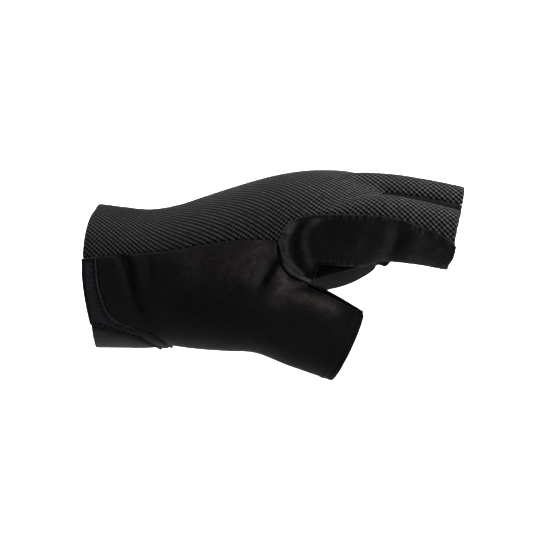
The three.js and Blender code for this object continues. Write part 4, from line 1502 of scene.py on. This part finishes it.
def make_palm(cloth_left):
    """Palm with the undersides of the fingers and the inner half of the thumb."""
    palm = part(cloth_left, opposite(on_side))
    points = palm[0]
    crease = np.abs(side_of(side_view(points), curve(CREASE)))
    palm = refined(palm, (points[:, 1] < 0) & (points[:, 0] > PALM_FINE_X) & (crease < PALM_FINE))
    points = palm[0]
    x, y, z = points.T
    view = side_view(points)
    deep, dark = crotch(points)
    lift = edge_roll(border_distance(*palm)) - CREASE_DEEP * deep
    over = z > column(TUBES["thumb"], "z", x) + WEB_OVER
    web = (x > WEB_FROM) & (y < WEB_Y) & over & (side_of(view, curve(STRIP_TOP)) < WEB_TO)
    # Painted shade below the fingers, along the side panel and on the far part.
    painted_palm_shade = PALM_PAINTED_SHADE * smoothstep(x, *PALM_PAINTED_SHADE_X)
    painted_palm_shade -= UNDER_SIDE_DARK * (hump(on_side(points), *UNDER_SIDE) * smoothstep(x, *UNDER_SIDE_X))
    painted_palm_shade -= FAR_DARK * ((y > FAR_Y) * hump(line_distance(view, FAR_SHADE)[0], *FAR_HUMP))
    # Painted highlights on the strip beside the crease, and the crotch's line of painted shadow.
    tone_and_painted_light = np.where(web, folded(view, PALM_PAINTED_LIGHT, False), np.maximum(painted_palm_shade, -1)) * (1 - dark) - dark
    panel("palm_suede", palm, lift, "palm_suede", ["palm_panel"], tone_and_painted_light)


# Cuff tape: a raised piping along both edges and stitches in a groove beside it.
TAPE_LIFT = 0.2
TAPE_EDGE = (0.4, 0.4)
TAPE_INSET = 1.55              # the stitches are this far from the tape's edge
TAPE_PITCH = 2.2
TAPE_GROOVE = (0.3, 0.5)
TAPE_SEWN = 0.62               # half width of the painted shade line there
# Painted shade in the stitch groove.
TAPE_GROOVE_PAINTED_SHADE = -0.8
PIPING = (0.35, 0.55, 0.38)
PIPING_PALE = (0.4, 0.42, 0.2)
TAPE_SWELL = (0.8, 163, 9)     # it stands out at this turn under the wrist
# Painted shade on the slanting band.
BAND_PAINTED_SHADE = 0.35               # the slanting band is darker than the cuff,
BAND_PAINTED_SHADE_TURN = (105, 125)    # between these turns


def make_tape(cloth_left):
    """Tape round the cuff and the slanting band."""
    tape = part(cloth_left, opposite(past_band), past_gusset)
    tape = refined(tape, np.ones(len(tape[0]), bool))
    gap = border_distance(*tape)
    turn = band_view(tape[0])[:, 1] / GIRTH
    lift = TAPE_LIFT + hump(gap, *PIPING) + edge_roll(gap, *TAPE_EDGE)
    lift += stitch_groove(gap, TAPE_INSET, *TAPE_GROOVE)
    lift += hump(turn, *TAPE_SWELL)
    # Pale piping, and painted shade in the stitch groove and on the slanting band.
    tone_and_painted_light = hump(gap, *PIPING_PALE) + hump(gap, TAPE_GROOVE_PAINTED_SHADE, TAPE_INSET, TAPE_SEWN)
    tone_and_painted_light -= BAND_PAINTED_SHADE * smoothstep(turn, *BAND_PAINTED_SHADE_TURN)
    panel("cuff_tape", tape, lift, "binding_tape", ["cuff_binding"], tone_and_painted_light)


# Gusset at the wrist: pale, and dark beside the band.
GUSSET_PALE = 0.3
GUSSET_DARK = (-1.1, 0, 3)


def make_gusset(cloth_left):
    """Suede insert below the slanting band."""
    gusset = part(cloth_left, opposite(past_gusset))
    lift = edge_roll(border_distance(*gusset))
    tone_and_painted_light = GUSSET_PALE + hump(past_gusset(gusset[0]), *GUSSET_DARK)
    panel("wrist_gusset_suede", gusset, lift, "gusset_suede", ["wrist_gusset"], tone_and_painted_light)


STRIPS = ["fourchette_index_middle", "fourchette_middle_ring", "fourchette_ring_little"]


def make_strips(cloth_left):
    """Strips of stretch cloth between the fingers."""
    strips = part(cloth_left, on_strip)
    lift = edge_roll(border_distance(*strips))
    panel("finger_strips", strips, lift, "stretch_cloth", STRIPS)


# Back: a thin dark inner face, and the knit over it.
LINER_LIFT = -0.5
KNIT_EDGE = (0.3, 1.0)
KNIT_HEM = 0.7                 # the loops are this much lower in the turned edge


def make_liner():
    """Dark inner face of the back, which keeps the knit from looking through."""
    liner = surface_net(*ROOM, 2 * STEP)
    liner = clipped(*liner, -HEM / 2 - end_place(liner[0])[0])
    liner = part(liner, above_back)
    solid = shell(liner, np.full(len(liner[0]), LINER_LIFT))
    piece("back_liner", solid, "mesh_liner", ["back_panel"])


def make_knit():
    """The knit of the back, one piece for each finger."""
    for name, (points, triangles) in zip(FINGERS, knit_strips()):
        places, uv = points[:, :3], points[:, 3:]
        place, facing, _ = rolled(places, unit(gradient(glove, places)))
        hem = smoothstep(end_place(places)[0], -2 * HEM, 0)
        height = knit_height(uv) * (1 - KNIT_HEM * hem) + edge_roll(above_back(places), *KNIT_EDGE)
        solid = (place + facing * height[:, None], triangles)
        piece(f"back_knit_{name}", solid, "mesh_knit", ["back_panel"], uv=uv)


# Stitches. The rows on the side panel run between these stations.
TOP_ROW_X = (79.6, 153)
UNDER_ROW_X = (97, 119)
TOP_ROW = {"lift": 0.3, "thick": 0.15}
DOUBLE_ROW_GAPS = (1.5, 3.3)   # the double row below lies this far in from the seam
DOUBLE_ROW = {"pitch": 1.5, "lift": 0.32, "thick": 0.16}
DOUBLE_ROW_SLANT = 0.6
HEM_PITCH = 1.75
FINGER_HEM = 2.3               # stitches this far back from the fingers' ends
BELOW_KNIT = 1.2               # this far below the edge of the knit
OFF_STRIP = 0.8                # and clear of the strips
THUMB_ROW_LIFT = -0.1
INDEX_ROW_LIFT = 0.35          # those on the index side panel lie on top of it
TAPE_ROW = {"lift": 0.12, "long": 0.52, "thick": 0.3}
TAPE_ROW_FROM = 1.5            # station and turn from which the tape is sewn
TAPE_ROW_TURN = 60
TAPE_BELOW_KNIT = 0.8


def panel_stitches():
    """Topstitching of the side panel and the hems of the thumb and the fingers."""
    top = curve(MESH_SEAM)
    top = top[(top[:, 0] > TOP_ROW_X[0]) & (top[:, 0] < TOP_ROW_X[1])]
    rows = [stitch_row(cast(beside(top, SIDE_INSET)), PUCKER, **TOP_ROW)]
    under = curve(SIDE_UNDER_SEAM)
    under = under[(under[:, 0] > UNDER_ROW_X[0]) & (under[:, 0] < UNDER_ROW_X[1])]
    for gap, way in zip(DOUBLE_ROW_GAPS, (1, -1)):
        rows.append(stitch_row(cast(beside(under, -gap)), zigzag=way * DOUBLE_ROW_SLANT, **DOUBLE_ROW))
    rows.append(stitch_row(round_tube("thumb", THUMB_HEM), HEM_PITCH, THUMB_ROW_LIFT))
    for name in FINGERS:
        ring = round_tube(name, FINGER_HEM)
        lift = INDEX_ROW_LIFT if name == "index" else 0.0
        kept = (above_back(ring) < -BELOW_KNIT) & (np.abs(on_strip(ring)) > OFF_STRIP)
        for stretch in runs(ring, kept):
            rows.append(stitch_row(stretch, HEM_PITCH, lift))
    piece("panel_stitches", joined(rows), "thread")


def tape_stitches():
    """Stitches along both edges of the tape, on both sides of the wrist."""
    rows = []
    for line, way in ((BAND_INNER, -1), (BAND_OUTER, 1)):
        path = beside(band_line(line), way * TAPE_INSET)
        near = path[(path[:, 0] > TAPE_ROW_FROM) & (path[:, 1] > GIRTH * TAPE_ROW_TURN)]
        far = near * [1, -1] + [0, 360 * GIRTH]
        for half in (near, far):
            on_tape = on_wrist(half)
            for stretch in runs(on_tape, above_back(on_tape) < -TAPE_BELOW_KNIT):
                rows.append(stitch_row(stretch, TAPE_PITCH, **TAPE_ROW))
    piece("tape_stitches", joined(rows), "tape_thread")


make_camera()
make_stage()
MATERIALS = make_materials()

# The surface is cut along the seams, and each panel is made from what is left.
whole = surface_net(*ROOM, STEP)
whole = clipped(*whole, inside_ends(whole[0]))
below = part(whole, opposite(above_back))
front = part(below, past_band, past_gusset)
off_strip = part(front, opposite(on_strip))
off_thumb = part(off_strip, opposite(on_thumb))
make_thumb(off_strip)
make_side(off_thumb)
make_palm(off_thumb)
make_tape(below)
make_gusset(below)
make_strips(front)
make_liner()
make_knit()
panel_stitches()
tape_stitches()
